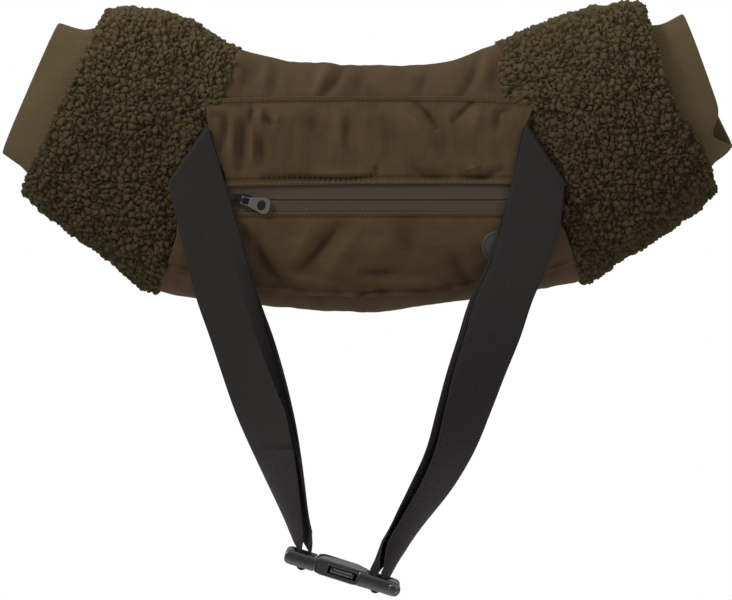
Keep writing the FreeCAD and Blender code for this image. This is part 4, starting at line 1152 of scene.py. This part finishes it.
def stitches(name, path, mat, length=2.4, gap=1.3, r=0.33, body="muff"):
    """A row of short thread capsules along points with normals."""
    pts, nrm = path
    d = np.concatenate([[0], np.cumsum(np.linalg.norm(np.diff(pts, axis=0), axis=1))])
    verts, quads = [], []
    at = 0.6
    seg, rad = 5, 6
    base = 0
    while at + length < d[-1]:
        s = np.linspace(at, at + length, seg)
        c = np.stack([np.interp(s, d, pts[:, k]) for k in range(3)], 1)
        n = np.stack([np.interp(s, d, nrm[:, k]) for k in range(3)], 1)
        n /= np.linalg.norm(n, axis=1, keepdims=True)
        tt = np.gradient(c, axis=0)
        tt /= np.linalg.norm(tt, axis=1, keepdims=True)
        b = np.cross(tt, n)
        k = np.linspace(-1, 1, seg)
        rr = r * np.sqrt(np.clip(1 - 0.9 * k ** 4, 0.05, 1))
        lift = 0.30 - 0.55 * k ** 4
        for j in range(seg):
            for m_ in range(rad):
                a = 2 * math.pi * m_ / rad
                verts.append(c[j] + n[j] * (lift[j] * 0.9 + rr[j] * math.sin(a)) + b[j] * rr[j] * math.cos(a))
        for j in range(seg - 1):
            for m_ in range(rad):
                quads.append((base + j * rad + m_, base + j * rad + (m_ + 1) % rad,
                              base + (j + 1) * rad + (m_ + 1) % rad, base + (j + 1) * rad + m_))
        for j, order in ((0, (3, 2, 1, 0)), (seg - 1, (0, 1, 2, 3))):
            o = base + j * rad
            quads.append(tuple(o + q for q in order))
            quads.append(tuple(o + q for q in ((0, 5, 4, 3) if j == 0 else (3, 4, 5, 0))))
        base += seg * rad
        at += length + gap
    ob = make_object(name, np.array(verts), np.array(quads), mat,
                     uv=np.array(verts)[:, [0, 2]])
    fix_normals(ob)
    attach(ob, body)
    return ob


def panel_line(grid, xs, zs):
    pts, nr = [], []
    for x, z in zip(xs, zs):
        p, n = on_panel(grid, x, z)
        q = p.copy()
        q[0], q[2] = x, z
        pts.append(q)
        nr.append(n)
    return np.array(pts), np.array(nr)


def build_stitches():
    xs = np.linspace(-109, 116, 150)
    zt = np.interp(xs, [-112.7, -60, 0, 60, 119.7], [62.2, 64, 64.6, 64.2, 61.8])
    stitches("stitch_top_seam", panel_line(UPPER, xs, zt - 2.4), M_thread)
    zb = np.interp(xs, [-112, -60, 0, 50, 110], [0.2, 1.4, 2.4, 2.6, 2.2])
    k = (xs > -96) & (xs < 102)
    stitches("stitch_zip_upper", panel_line(UPPER, xs[k], zb[k] + 1.7), M_thread)
    stitches("stitch_zip_lower", panel_line(LOWER, xs, np.full_like(xs, -18.9)), M_thread_dark, 2.0, 1.0, 0.28)


build_stitches()


# --- zip -----------------------------------------------------------------------
def build_zip():
    # the two tapes with their turned edges meeting at the middle
    for nm, z0, z1, node in (("zip_tape_upper_weave", -8.60, 3.4, "zip_tape_upper"),
                             ("zip_tape_lower_weave", -20.5, -8.95, "zip_tape_lower")):
        nx, nz = 240, 22
        X, Z = np.meshgrid(np.linspace(-99.0, 104.0, nx), np.linspace(z0, z1, nz))
        near = (z0 if "upper" in nm else z1)
        bulge = 0.55 * np.exp(-((Z - near) / 2.2) ** 2) - 0.5 * smoothstep(0.8, 0.0, np.abs(Z - near))
        Y = -37.75 - bulge + 0.10 * np.sin(X / 17.0)
        P = np.stack([X, Y, Z], -1)
        N = np.zeros_like(P)
        N[..., 1] = 1
        ob = sheet_piece(nm, P, 0.6, M_tape, np.stack([X, Z], -1), N)
        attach(ob, "muff")
        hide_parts(node)


build_zip()


def paint(node, mat):
    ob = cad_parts[node]
    ob.data.materials.clear()
    ob.data.materials.append(mat)


def soften(node, name, mat, width, body, segments=2, angle=28):
    """A CAD piece with its edges rounded, standing for the CAD node."""
    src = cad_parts[node]
    me = src.data.copy()
    me.name = name
    bm = bmesh.new()
    bm.from_mesh(me)
    bmesh.ops.remove_doubles(bm, verts=bm.verts, dist=2e-6)
    bmesh.ops.dissolve_limit(bm, angle_limit=math.radians(3), verts=bm.verts, edges=bm.edges)
    bmesh.ops.recalc_face_normals(bm, faces=bm.faces)
    bm.to_mesh(me)
    bm.free()
    ob = bpy.data.objects.new(name, me)
    scene.collection.objects.link(ob)
    me.materials.clear()
    me.materials.append(mat)
    mod = ob.modifiers.new("edges", "BEVEL")
    mod.width = width
    mod.segments = segments
    mod.limit_method = "ANGLE"
    mod.angle_limit = math.radians(angle)
    mod.use_clamp_overlap = True
    dg = bpy.context.evaluated_depsgraph_get()
    new = bpy.data.meshes.new_from_object(ob.evaluated_get(dg))
    ob.modifiers.clear()
    ob.data = new
    for p in new.polygons:
        p.use_smooth = True
    sm = ob.modifiers.new("hard", "WEIGHTED_NORMAL")
    sm.keep_sharp = True
    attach(ob, body)
    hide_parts(node)
    return ob


soften("zip_slider", "zip_slider_body", M_slider, 0.00045, "slider")
soften("zip_puller", "zip_puller_plate", M_puller, 0.00045, "puller")
soften("buckle_male", "buckle_male_half", M_black, 0.0007, "male_half", 3)
soften("buckle_female", "buckle_female_half", M_black, 0.0007, "belt", 3)
soften("buckle_arm_front", "buckle_arm_front_prong", M_black, 0.0006, "arm_front")
soften("buckle_arm_rear", "buckle_arm_rear_prong", M_black, 0.0006, "arm_rear")
def buckle_point(s0, y, d):
    """s0 along the buckle, y across its width, d across its thickness."""
    c_, s_ = math.cos(math.radians(17.5)), math.sin(math.radians(17.5))
    sx = s0 - 41.5
    return (-16.3 + sx * c_ + d * s_, -46.5 + y, -267.0 - sx * s_ + d * c_)


def buckle_bar(name, rows, y0, y1, body, power=0.55):
    """Rounded bar along the buckle: rows of (along, half thickness)."""
    n = 24
    verts = []
    for s0, h in rows:
        for k in range(n):
            a = 2 * math.pi * (k + 0.5) / n
            y = (y0 + y1) / 2 + (y1 - y0) / 2 * sgnpow(math.cos(a), power)
            verts.append(buckle_point(s0, y, h * sgnpow(math.sin(a), power)))
    quads = list(map(tuple, grid_quads(len(rows), n, False, True)))
    for row in (0, len(rows) - 1):
        for i in range(n // 2 - 1):
            quads.append((row * n + i, row * n + i + 1, row * n + n - 2 - i, row * n + n - 1 - i))
    ob = fix_normals(make_object(name, np.array(verts, float), np.array(quads), M_black))
    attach(ob, body)
    return ob


MALE_RAIL = [(-0.2, 1.0), (0.1, 2.4), (0.9, 3.8), (2.4, 4.7), (5, 5.0), (9, 4.9), (14, 4.8), (19, 4.8),
             (21.1, 4.8), (21.7, 4.4)]
FEMALE_RAIL = [(52.2, 4.9), (54, 5.2), (60, 5.0), (66, 4.8), (72, 4.8), (77, 4.9), (80.4, 4.6), (82.2, 3.4),
               (82.9, 1.8), (83.1, 0.8)]
for tag, sg in (("front", -1), ("rear", 1)):
    buckle_bar("buckle_male_rail_" + tag, MALE_RAIL, sg * 20.9, sg * 25.5, "male_half")
    buckle_bar("buckle_female_rail_" + tag, FEMALE_RAIL, sg * 20.9, sg * 25.5, "belt")
    # catch ribs that show in the side window
    arm_body = "arm_front" if sg < 0 else "arm_rear"
    for q, dd in enumerate((-1.15, 1.15)):
        rows = [(33.4 + q * 1.5, 0.2), (34.1 + q * 1.5, 0.8), (40, 0.95), (46.4 + q * 1.5, 0.9), (47.4 + q * 1.5, 0.2)]
        n = 12
        verts = []
        for s0, h in rows:
            for k in range(n):
                a = 2 * math.pi * (k + 0.5) / n
                verts.append(buckle_point(s0, sg * (23.45 + 0.9 * math.cos(a) * min(1.0, h)), dd + h * math.sin(a)))
        quads = list(map(tuple, grid_quads(len(rows), n, False, True)))
        for row in (0, len(rows) - 1):
            for i in range(n // 2 - 1):
                quads.append((row * n + i, row * n + i + 1, row * n + n - 2 - i, row * n + n - 1 - i))
        # the catch ribs are lighter than the plastic around them: painted light in the shaded window
        ob = fix_normals(make_object("catch_rib_%s_%d" % (tag, q), np.array(verts, float), np.array(quads), M_catch_lightened))
        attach(ob, arm_body)
for tag, sg in (("front", -1), ("rear", 1)):
    ob = buckle_bar("catch_base_" + tag, [(32.6, 1.6), (33.2, 2.1), (49.0, 2.1), (49.6, 1.6)],
                    sg * 22.3, sg * 23.6, "arm_front" if sg < 0 else "arm_rear", 0.4)
# shoulder of the male half that closes the joint line at the mouth
buckle_bar("buckle_male_shoulder", [(21.3, 4.3), (22.33, 4.3)], -24.7, 24.7, "male_half", 0.2)
# crowned wide faces of the female half, with the V notch at the mouth
for tag, sg in (("upper", 1), ("lower", -1)):
    bm = bmesh.new()
    ns, ny = 46, 40
    S = np.linspace(22.9, 57.5, ns)
    Yb = np.linspace(-24.0, 24.0, ny)
    V = []
    for s0 in S:
        row = []
        for y in Yb:
            h = 4.75 + 2.1 * (1 - (y / 24.0) ** 2) * float(smoothstep(22.0, 27.0, s0)) * float(smoothstep(59.5, 50.0, s0))
            row.append(bm.verts.new(Vector(buckle_point(s0, y, sg * h)) * 0.001))
        V.append(row)
    for i in range(ns - 1):
        for j in range(ny - 1):
            sm_, ym_ = (S[i] + S[i + 1]) / 2, (Yb[j] + Yb[j + 1]) / 2
            if abs(ym_) < 13.0 * (1 - (sm_ - 24.0) / 19.0):
                continue
            bm.faces.new((V[i][j], V[i][j + 1], V[i + 1][j + 1], V[i + 1][j]))
    loose = [v for v in bm.verts if not v.link_faces]
    bmesh.ops.delete(bm, geom=loose, context="VERTS")
    bmesh.ops.recalc_face_normals(bm, faces=bm.faces)
    bmesh.ops.solidify(bm, geom=list(bm.faces), thickness=0.0009 )
    bmesh.ops.recalc_face_normals(bm, faces=bm.faces)
    me = bpy.data.meshes.new("buckle_crown_" + tag)
    bm.to_mesh(me)
    bm.free()
    # the crowned faces take the lighter plastic, a painted highlight
    me.materials.append(M_crown_highlight)
    for pl in me.polygons:
        pl.use_smooth = True
    ob = bpy.data.objects.new("buckle_crown_" + tag, me)
    scene.collection.objects.link(ob)
    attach(ob, "belt")
# ring moulded round the end of the female half's bar
for tag, sg in (("front", -1), ("rear", 1)):
    verts, m_, n_ = [], 32, 10
    for i in range(m_):
        a = 2 * math.pi * i / m_
        for k in range(n_):
            b = 2 * math.pi * k / n_
            r = 3.1 + 0.75 * math.cos(b)
            verts.append(buckle_point(78.2 + r * math.cos(a), sg * (25.3 + 0.5 * math.sin(b)), r * math.sin(a)))
    # the ring is lighter than the plastic around it: a painted highlight
    ob = fix_normals(make_object("bar_end_ring_" + tag, np.array(verts, float), grid_quads(m_, n_, True, True), M_catch_lightened))
    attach(ob, "belt")
for nm in ("zip_coil_upper", "zip_coil_lower"):
    paint(nm, M_coil)
for nm in ("zip_stop_left", "zip_stop_right"):
    paint(nm, M_slider)


# --- pocket bag and lining ------------------------------------------------------
def build_pocket_bag():
    left = [(-18.0, -94.0), (-56.8, -92.0)]
    right = [(-18.0, 94.0), (-56.8, 92.0)]
    top = [(-94.0, -18.5), (94.0, -18.5)]
    bottom = [(-94.0, -57.5), (-40.0, -66.0), (0.0, -67.2), (40.0, -66.0), (94.0, -57.5)]
    X, Z = panel_grid(left, right, top, bottom, 90, 30)
    lift = 5.9 - 5.1 * smoothstep(-38, -74, Z) - 4.6
    P = np.stack([X, front_y(X, Z, lift), Z], -1)
    N = front_normal(X, Z, 3.0)
    w = 0.25 * vnoise(P, 16, 3.0)
    P = P + N * w[..., None]
    ob = sheet_piece("pocket_bag_cloth", P, 0.9, M_pocket, np.stack([X, Z], -1), -N)
    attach(ob, "muff")
    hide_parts("pocket_bag")


build_pocket_bag()

INNER = {
    "x": [-235.6, -208.6, -195.0, -161.7, -119.0, 0.0, 123.6, 165.6, 200.6, 217.6, 238.7],
    "half": [47.8, 56.2, 61.0, 67.0, 70.0, 70.0, 70.0, 67.0, 60.0, 53.0, 45.1],
    "depth": [14.5, 17.2, 17.0, 17.5, 18.0, 18.0, 18.0, 17.5, 17.0, 17.2, 14.5],
}


def build_lining():
    step = 2.2
    t, per = even_angles(int(190 * 2 / step), 70, 18)
    xs = np.linspace(-208.6, 217.6, int(440 / step))
    inner_, outer_ = [], []
    for x in xs:
        z, tilt, _, _ = [float(v) for v in station(x)]
        half = float(hermite(INNER["x"], INNER["half"], x))
        depth = float(hermite(INNER["x"], INNER["depth"], x))
        inner_.append(ring_points(x, z, tilt, half + 0.6, depth + 0.6, t, None))
        outer_.append(ring_points(x, z, tilt, half + 2.8, depth + 2.8, t, None))
    P = np.array(inner_)
    O = np.array(outer_)
    D = O - P
    D /= np.linalg.norm(D, axis=-1, keepdims=True)
    h = 0.9 * vnoise(P, 3.2, 2.0) + 0.7 * vnoise(P, 9.0, 4.0)
    P = P - D * np.clip(h + 0.2, -0.4, 1.4)[..., None]
    rows = np.concatenate([O, P[::-1]])
    ob = torus_piece("tunnel_lining_fleece", rows, M_lining)
    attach(ob, "muff")
    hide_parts("lining_left", "lining_centre", "lining_right")


build_lining()


def build_wadding(name, x0, x1, less, node):
    step = 3.0
    t, per = even_angles(int(380 / step), 80, 26)
    xs = np.linspace(x0, x1, max(8, int((x1 - x0) / step)))
    O, I = [], []
    for x in xs:
        z, tilt, half, depth = [float(v) for v in station(x)]
        hi_ = float(hermite(INNER["x"], INNER["half"], x)) + 3.6
        di_ = float(hermite(INNER["x"], INNER["depth"], x)) + 3.6
        O.append(ring_points(x, z, tilt, max(half - less, hi_ + 1.2), max(depth - less, di_ + 1.2), t, BACK - less))
        I.append(ring_points(x, z, tilt, hi_, di_, t, None))
    O, I = np.array(O), np.array(I)
    D = O - I
    D /= np.maximum(np.linalg.norm(D, axis=-1, keepdims=True), 1e-6)
    O = O + D * (0.7 * vnoise(O, 8.0, 5.0))[..., None]
    ob = torus_piece(name, np.concatenate([O, I[::-1]]), M_wad)
    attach(ob, "muff")
    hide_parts(node)


build_wadding("wadding_centre_batt", -117.5, 122.0, 6.0, "wadding_centre")
build_wadding("wadding_left_batt", -196.0, -121.0, 8.5, "wadding_left")
build_wadding("wadding_right_batt", 125.5, 204.0, 8.5, "wadding_right")


# --- badge ---------------------------------------------------------------------
def build_badge():
    cx, cz, r = 91.4, -41.0, 10.7
    rings, seg = 14, 72
    prof = [(0.0, 0.75), (0.35, 0.75), (0.62, 0.72), (0.70, 0.55), (0.74, 0.5), (0.80, 0.5), (0.84, 0.72),
            (0.93, 1.0), (0.98, 0.8), (1.0, 0.4), (0.99, -0.2)]
    V_ = []
    for f, h in prof[1:]:
        a = np.linspace(0, 2 * np.pi, seg, endpoint=False)
        x = cx + r * f * np.cos(a)
        z = cz + r * f * np.sin(a)
        y = front_y(x, z, 5.9) - 0.7 - h * 1.0
        V_.append(np.stack([x, y, z], -1))
    back = V_[-1].copy()
    P = np.array(V_)
    R, C, _ = P.shape
    verts = list(P.reshape(-1, 3))
    quads = list(map(tuple, grid_quads(R, C, False, True)))
    # close the face and the back with fans of quads
    def cap(row, depth, flip):
        nonlocal verts, quads
        idx = [row * C + i for i in range(C)]
        c = np.mean([verts[i] for i in idx], axis=0) + np.array([0, depth, 0])
        half = []
        for i in idx:
            verts.append((np.array(verts[i]) + c) / 2)
            half.append(len(verts) - 1)
        verts.append(c)
        ci = len(verts) - 1
        for i in range(C):
            j = (i + 1) % C
            quads.append((idx[i], idx[j], half[j], half[i]))
        for i in range(0, C, 2):
            quads.append((half[i], half[(i + 1) % C], half[(i + 2) % C], ci))
    cap(0, 0.0, False)
    cap(R - 1, 0.3, True)
    ob = fix_normals(make_object("rubber_badge_disc", np.array(verts), np.array(quads), M_badge))
    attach(ob, "muff")
    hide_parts("rubber_badge")


build_badge()

# --- webbing ---------------------------------------------------------------------
WT = 1.5
TILT = math.radians(17.5)
CT, ST = math.cos(TILT), math.sin(TILT)
BL, BCX, BCY, BCZ = 83.0, -16.3, -46.5, -267.0
STRAP = {
    "left": [
        (-3.2, -136.2, -96.8, 0, 0.0, -42.9),
        (-18.0, -133.4, -92.2, 0, 0.8, -43.0),
        (-32.9, -130.6, -88.2, 0, 1.6, -43.1),
        (-55.0, -125.4, -82.4, 3, 2.6, -43.3),
        (-78.4, -119.0, -76.3, 5, 3.6, -43.6),
        (-105.0, -109.0, -68.4, 11, 4.6, -43.9),
        (-130.2, -100.8, -61.2, 18, 5.0, -44.3),
        (-156.1, -91.8, -55.2, 28, 5.2, -44.7),
        (-189.0, -77.6, -50.0, 47, 5.8, -45.3),
        (-221.2, -63.0, -46.9, 66, 7.4, -45.9),
        (-239.4, -53.4, -45.6, 79, 8.2, -46.3),
    ],
    "right": [
        (-3.2, 137.4, 100.2, 0, 0.0, -42.9),
        (-18.0, 137.0, 95.4, 0, 0.8, -43.0),
        (-32.9, 136.2, 90.8, 0, 1.6, -43.1),
        (-55.0, 130.4, 82.2, 3, 2.8, -43.3),
        (-78.4, 118.4, 73.6, 6, 3.8, -43.6),
        (-105.0, 110.0, 65.6, 15, 4.6, -43.9),
        (-130.0, 99.4, 58.6, 26, 5.0, -44.3),
        (-156.0, 90.2, 51.4, 36, 5.6, -44.7),
        (-182.4, 78.2, 46.2, 46, 6.4, -45.1),
        (-205.8, 64.6, 36.6, 52, 7.2, -45.6),
        (-225.4, 50.6, 27.0, 58, 7.8, -46.0),
        (-246.0, 34.4, 16.6, 68, 8.2, -46.3),
    ],
}
FOLD = {
    "left": ((-109.9, 40.6), (-136.6, 1.4)),
    "right": ((110.6, 42.0), (138.0, 1.0)),
}


def on_buckle(s, d):
    return (BCX + (s - BL / 2) * CT + d * ST, BCZ - (s - BL / 2) * ST + d * CT)


def ribbon_mesh(name, levels, mat, thick=WT, nw=28, cup=None, uv0=0.0, taper_ends=False):
    """Ribbon from levels (centre, half-width vector, normal): a flat band
    with rounded edges and the slight ribs of its weave."""
    levels = [(np.array(c, float), np.array(w, float), np.array(n, float)) for c, w, n in levels]
    # profile across the width, closed
    h = thick / 2
    k = np.linspace(-1, 1, nw)
    hw = 20.0
    top = [(x, h * (1 - 0.10 * abs(math.cos(x * 11 * math.pi))) * (1 if abs(x) < 0.965 else 0.82)) for x in k]
    edge_r = [(1 + 0.018 * math.cos(a), h * 0.82 * math.sin(a)) for a in (math.pi / 4, 0, -math.pi / 4)]
    bot = [(x, -y) for x, y in reversed(top)]
    edge_l = [(-x, -y) for x, y in edge_r]
    prof = top + edge_r + bot + edge_l
    C = len(prof)
    verts = []
    uvs = []
    run = uv0
    prev = None
    for li, (c, w, n) in enumerate(levels):
        if prev is not None:
            run += np.linalg.norm(c - prev)
        prev = c
        cp = cup[li] if cup is not None else 0.0
        for x, y in prof:
            verts.append(c + w * x + n * (y + cp * (0.6 - x * x)))
            uvs.append((run, x * 20.0))
    R = len(levels)
    quads = list(map(tuple, grid_quads(R, C, False, True)))
    n_half = C // 2
    for row in (0, R - 1):
        o = row * C
        tops = list(range(0, nw))
        bots = list(range(nw + 3, nw + 3 + nw))[::-1]
        for i in range(nw - 1):
            quads.append((o + tops[i], o + tops[i + 1], o + bots[i + 1], o + bots[i]))
        e = nw
        quads.append((o + tops[-1], o + e, o + e + 1, o + e + 2))
        quads.append((o + tops[-1], o + e + 2, o + bots[-1], o + bots[-1]) if False else (o + e + 2, o + bots[-1], o + tops[-1], o + e + 2))
        e2 = nw + 3 + nw
        quads.append((o + bots[0], o + e2, o + e2 + 1, o + e2 + 2))
        quads.append((o + e2 + 2, o + tops[0], o + bots[0], o + e2 + 2))
    bm = bmesh.new()
    vs = [bm.verts.new(Vector(v) * 0.001) for v in verts]
    uvl = bm.loops.layers.uv.new("UVMap")
    for q in quads:
        q2 = []
        for i in q:
            if i not in q2:
                q2.append(i)
        if len(q2) < 3:
            continue
        try:
            f = bm.faces.new([vs[i] for i in q2])
        except ValueError:
            continue
        f.smooth = True
        for lp, i in zip(f.loops, q2):
            lp[uvl].uv = uvs[i]
    bmesh.ops.recalc_face_normals(bm, faces=bm.faces)
    me = bpy.data.meshes.new(name)
    bm.to_mesh(me)
    bm.free()
    me.materials.append(mat)
    ob = bpy.data.objects.new(name, me)
    scene.collection.objects.link(ob)
    return ob


def unit(v):
    return v / max(np.linalg.norm(v), 1e-9)


def strap_levels(side, back):
    sgn = 1.0 if side == "left" else -1.0
    rows = np.array(STRAP[side], float)
    ctr = []
    for z, xo, xi, tw, dx, y in rows:
        cx = (xo + xi) / 2 + (sgn * dx if back else 0.0)
        dy = 1.8 * math.cos(math.radians(tw)) if back else 0.0
        half = abs(xi - xo) / 2 / max(math.cos(math.radians(tw)), 0.05)
        ctr.append((cx, y + dy, z, tw, half))
    L = spline(ctr, 46)
    t = np.gradient(L[:, :3], axis=0)
    out = []
    for i, (x, y, z, tw, half) in enumerate(L):
        a = math.radians(tw)
        tt = unit(t[i])
        w = np.array([sgn * math.cos(a), -math.sin(a), 0])
        lean = math.sqrt(max(1e-6, 1 - tt.dot(w) ** 2))
        hw = min(20.0, min(20.0, half) * lean) / lean
        n = unit(np.cross(tt, w))
        out.append((np.array([x, y, z]), w * hw, n))
    return out


def loop_levels(side, first, last):
    """Round the buckle half's middle bar and back."""
    if side == "left":
        b0, b1 = 10.9, 15.1
    else:
        b0, b1 = 68.4, 64.2
    mid = (b0 + b1) / 2
    dirn = 1 if b1 > b0 else -1
    r = abs(b1 - b0) / 2 + 0.7 + 0.45
    path = [(mid - dirn * (r + 0.25), 4.0), (mid - dirn * r, 0.0), (mid - dirn * r, -2.6)]
    for k in range(1, 12):
        a = math.pi * k / 12
        path.append((mid - dirn * r * math.cos(a), -2.9 - r * math.sin(a)))
    path += [(mid + dirn * r, -2.6), (mid + dirn * r, 0.0), (mid + dirn * (r + 0.1), 4.0)]
    pts = []
    for s, d in path:
        x, z = on_buckle(s, d)
        pts.append(np.array([x, BCY, z]))
    pts = [first] + pts + [last]
    L = spline(pts, 64)
    L = L[1:-1]
    t = np.gradient(L, axis=0)
    out = []
    for i in range(len(L)):
        w = np.array([0, -20.0, 0])
        n = unit(np.cross(unit(t[i]), w))
        out.append((L[i], w, n))
    return out


def smooth_turn(levels, n=5):
    """Evens out the direction of the width along a run of levels."""
    W = np.array([w for c, w, nn in levels])
    hw = np.linalg.norm(W, axis=1)
    D = W / hw[:, None]
    for _ in range(n):
        D[1:-1] = (D[:-2] + D[1:-1] + D[2:]) / 3
        hw[1:-1] = (hw[:-2] + hw[1:-1] + hw[2:]) / 3
    D /= np.linalg.norm(D, axis=1, keepdims=True)
    C = np.array([c for c, w, nn in levels])
    t = np.gradient(C, axis=0)
    out = []
    for k in range(len(levels)):
        nn = np.cross(unit(t[k]), D[k])
        out.append((C[k], D[k] * hw[k], unit(nn)))
    return out


# the tunnel runs: centre lines of the two layers of webbing between panels
FOLD_DEPTH = {"outer": (-42.85, 0.1), "inner": (-41.15, 1.7)}


def fold_levels(side, layer):
    """From the free strap up the flap, round the slanted fold and into the
    tunnel. Each level is (centre, half-width vector, normal)."""
    sgn = 1.0 if side == "left" else -1.0
    y_flap, lift = FOLD_DEPTH[layer]
    (ax, az), (cx, cz) = FOLD[side]
    inset = 0.0 if layer == "outer" else 1.9
    A = np.array([ax, 0, az])
    C = np.array([cx, 0, cz])
    u = unit(A - C)
    m = np.array([-u[2], 0, u[0]]) if side == "left" else np.array([u[2], 0, -u[0]])
    A, C = A - m * inset, C - m * inset
    first = STRAP[side][0]
    o0 = np.array([first[1] + (sgn * first[4] if layer == "inner" else 0), 0, first[0]])
    i0 = np.array([first[2] + (sgn * first[4] if layer == "inner" else 0), 0, first[0]])
    rows = []

    def level(o, i_, y, nrm):
        c = (o + i_) / 2
        w = (i_ - o) / 2
        rows.append((np.array([c[0], y, c[2]]), w, nrm))

    front = np.array([0, -1.0, 0])
    n_flap = 20
    for k in range(1, n_flap + 1):
        f = k / n_flap
        level(o0 + (C - o0) * f, i0 + (A - i0) * f, y_flap, front)
    # round the fold
    y_run = -36.4 if layer == "outer" else -38.2
    ry = (y_run - y_flap) / 2
    rx = 0.55 * ry + 0.2
    for k in range(1, 12):
        a = math.pi * k / 12
        off = m * (rx * math.sin(a))
        nrm = unit(np.array([0, -math.cos(a) / ry, 0]) + m * math.sin(a) / rx)
        level(C + off, A + off, y_flap + ry * (1 - math.cos(a)), nrm)
    # behind the flap, then into the tunnel
    z_top, z_bot = 40.9 - inset * 0.2, 1.2 + inset * 0.2
    mouth = -98.0 if side == "left" else 100.0
    n_run = 26
    for k in range(0, n_run + 1):
        f = k / n_run
        g = smoothstep(0, 0.9, f)
        xt = A[0] + (mouth - A[0]) * f + (0 if f < 1 else 0)
        xb = C[0] + (mouth - C[0]) * f
        zt = A[2] + (z_top - A[2]) * g
        zb = C[2] + (z_bot - C[2]) * g
        o, i_ = np.array([xb, 0, zb]), np.array([xt, 0, zt])
        c = (o + i_) / 2
        yt = float(front_y(np.array(c[0]), np.array(c[2]), lift))
        y = y_run + (yt - y_run) * g
        level(o, i_, y, -front)
    return rows


def tunnel_run(layer, x0, x1, n=60):
    rows = []
    lift = FOLD_DEPTH[layer][1]
    inset = 0.0 if layer == "outer" else 1.9
    z_top, z_bot = 40.9 - inset * 0.2, 1.2 + inset * 0.2
    for x in np.linspace(x0, x1, n)[1:-1]:
        c = np.array([x, 0, (z_top + z_bot) / 2])
        y = float(front_y(np.array(x), np.array(c[2]), lift))
        rows.append((np.array([x, y, c[2]]), np.array([0, 0, (z_top - z_bot) / 2]), np.array([0, 1.0, 0])))
    return rows


def side_parts(side):
    f = strap_levels(side, False)
    b = strap_levels(side, True)
    lp = loop_levels(side, f[-1][0], b[-1][0])
    back = [(c, w, -n) for c, w, n in reversed(b)]
    nf, nl = len(f), len(lp)
    sgn = 1.0 if side == "left" else -1.0
    tw_end = STRAP[side][-1][3]
    C = np.array([c for c, w, n in lp])
    s = np.concatenate([[0], np.cumsum(np.linalg.norm(np.diff(C, axis=0), axis=1))])
    reach = 17.0 if side == "left" else 27.0
    new = []
    for k, (c, w, n) in enumerate(lp):
        a = min(s[k], s[-1] - s[k])
        th = math.radians(tw_end + (90 - tw_end) * float(smoothstep(-2, reach, a)))
        new.append((c, np.array([sgn * math.cos(th), -math.sin(th), 0]) * 20.0, n))
    all_ = smooth_turn(f + new + back, 4)
    return all_[:nf], all_[nf:nf + nl], all_[nf + nl:]


LF, LL, LB = side_parts("left")
RF, RL, RB = side_parts("right")
# left: split where the male half parts from the rest
sx_, sz_ = on_buckle(13.0, 62.0)
c_split = sx_ * ST + sz_ * CT
whole_left = LF + LL + LB
dd_ = [c[0] * ST + c[2] * CT - c_split for c, w, n in whole_left]
first_ = next(i for i, v in enumerate(dd_) if v < 0)
last_ = len(dd_) - 1 - next(i for i, v in enumerate(reversed(dd_)) if v < 0)
LEFT_FRONT = whole_left[:first_]
LEFT_LOOP = whole_left[first_ - 1:last_ + 2]
LEFT_BACK = whole_left[last_ + 1:]


def flip(levels, w=False):
    return [(c, -v if w else v, n) for c, v, n in levels]


def outer_path():
    """Left strap's front layer, tunnel, right strap, bar, right back layer,
    tunnel and left back layer: one long belt."""
    path = []
    up = list(reversed(LEFT_FRONT))                 # width points inward (+x)
    path += up
    fl = fold_levels("left", "outer")
    path += fl
    fr = fold_levels("right", "outer")
    path += tunnel_run("outer", -98.0, 100.0)
    path += flip(list(reversed(fr)))
    path += flip(RF)
    path += flip(RL)
    path += flip(RB)
    path += flip(fold_levels("right", "inner"))
    path += flip(list(reversed(tunnel_run("inner", -98.0, 100.0))))
    path += list(reversed(fold_levels("left", "inner")))
    path += list(reversed(LEFT_BACK))[::-1]
    return path


def oriented(path):
    """Width and normal directions that follow on from level to level."""
    out = [path[0]]
    for c, w, n in path[1:]:
        pc, pw, pn = out[-1]
        if np.dot(unit(w), unit(pw)) < 0:
            w = -w
        if np.dot(n, pn) < 0:
            n = -n
        out.append((c, w, n))
    return out


def cups(levels):
    """The webbing cups lengthwise as it twists towards the buckle."""
    out = []
    for c, w, n in levels:
        x, z = c[0], c[2]
        d = (x - BCX) * ST + (z - BCZ) * CT        # height over the buckle
        if x > BCX:
            out.append(5.6 * float(smoothstep(85, 25, d)) * float(smoothstep(1.5, 7.0, d)))
        else:
            out.append(3.6 * float(smoothstep(95, 30, d)) * float(smoothstep(2.0, 12.0, d)))
    return out


BELT = oriented(outer_path())
belt = ribbon_mesh("belt_webbing", BELT, M_web, cup=cups(BELT))
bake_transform(belt)
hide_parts("tunnel_web_outer", "tunnel_web_inner", "strap_left", "strap_right")
LEFT_LOOP = oriented([BELT[0]] + LEFT_LOOP)[1:]
for end_, nxt_ in ((0, 1), (-1, -2)):
    c0, w0, n0 = LEFT_LOOP[end_]
    c1 = np.array(LEFT_LOOP[nxt_][0], float)
    LEFT_LOOP[end_] = (np.array(c0, float) + unit(c1 - np.array(c0, float)) * 0.05, w0, n0)
low = ribbon_mesh("belt_webbing_buckle_loop", LEFT_LOOP, M_web, cup=cups(LEFT_LOOP))
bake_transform(low)
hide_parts("strap_left_loop")
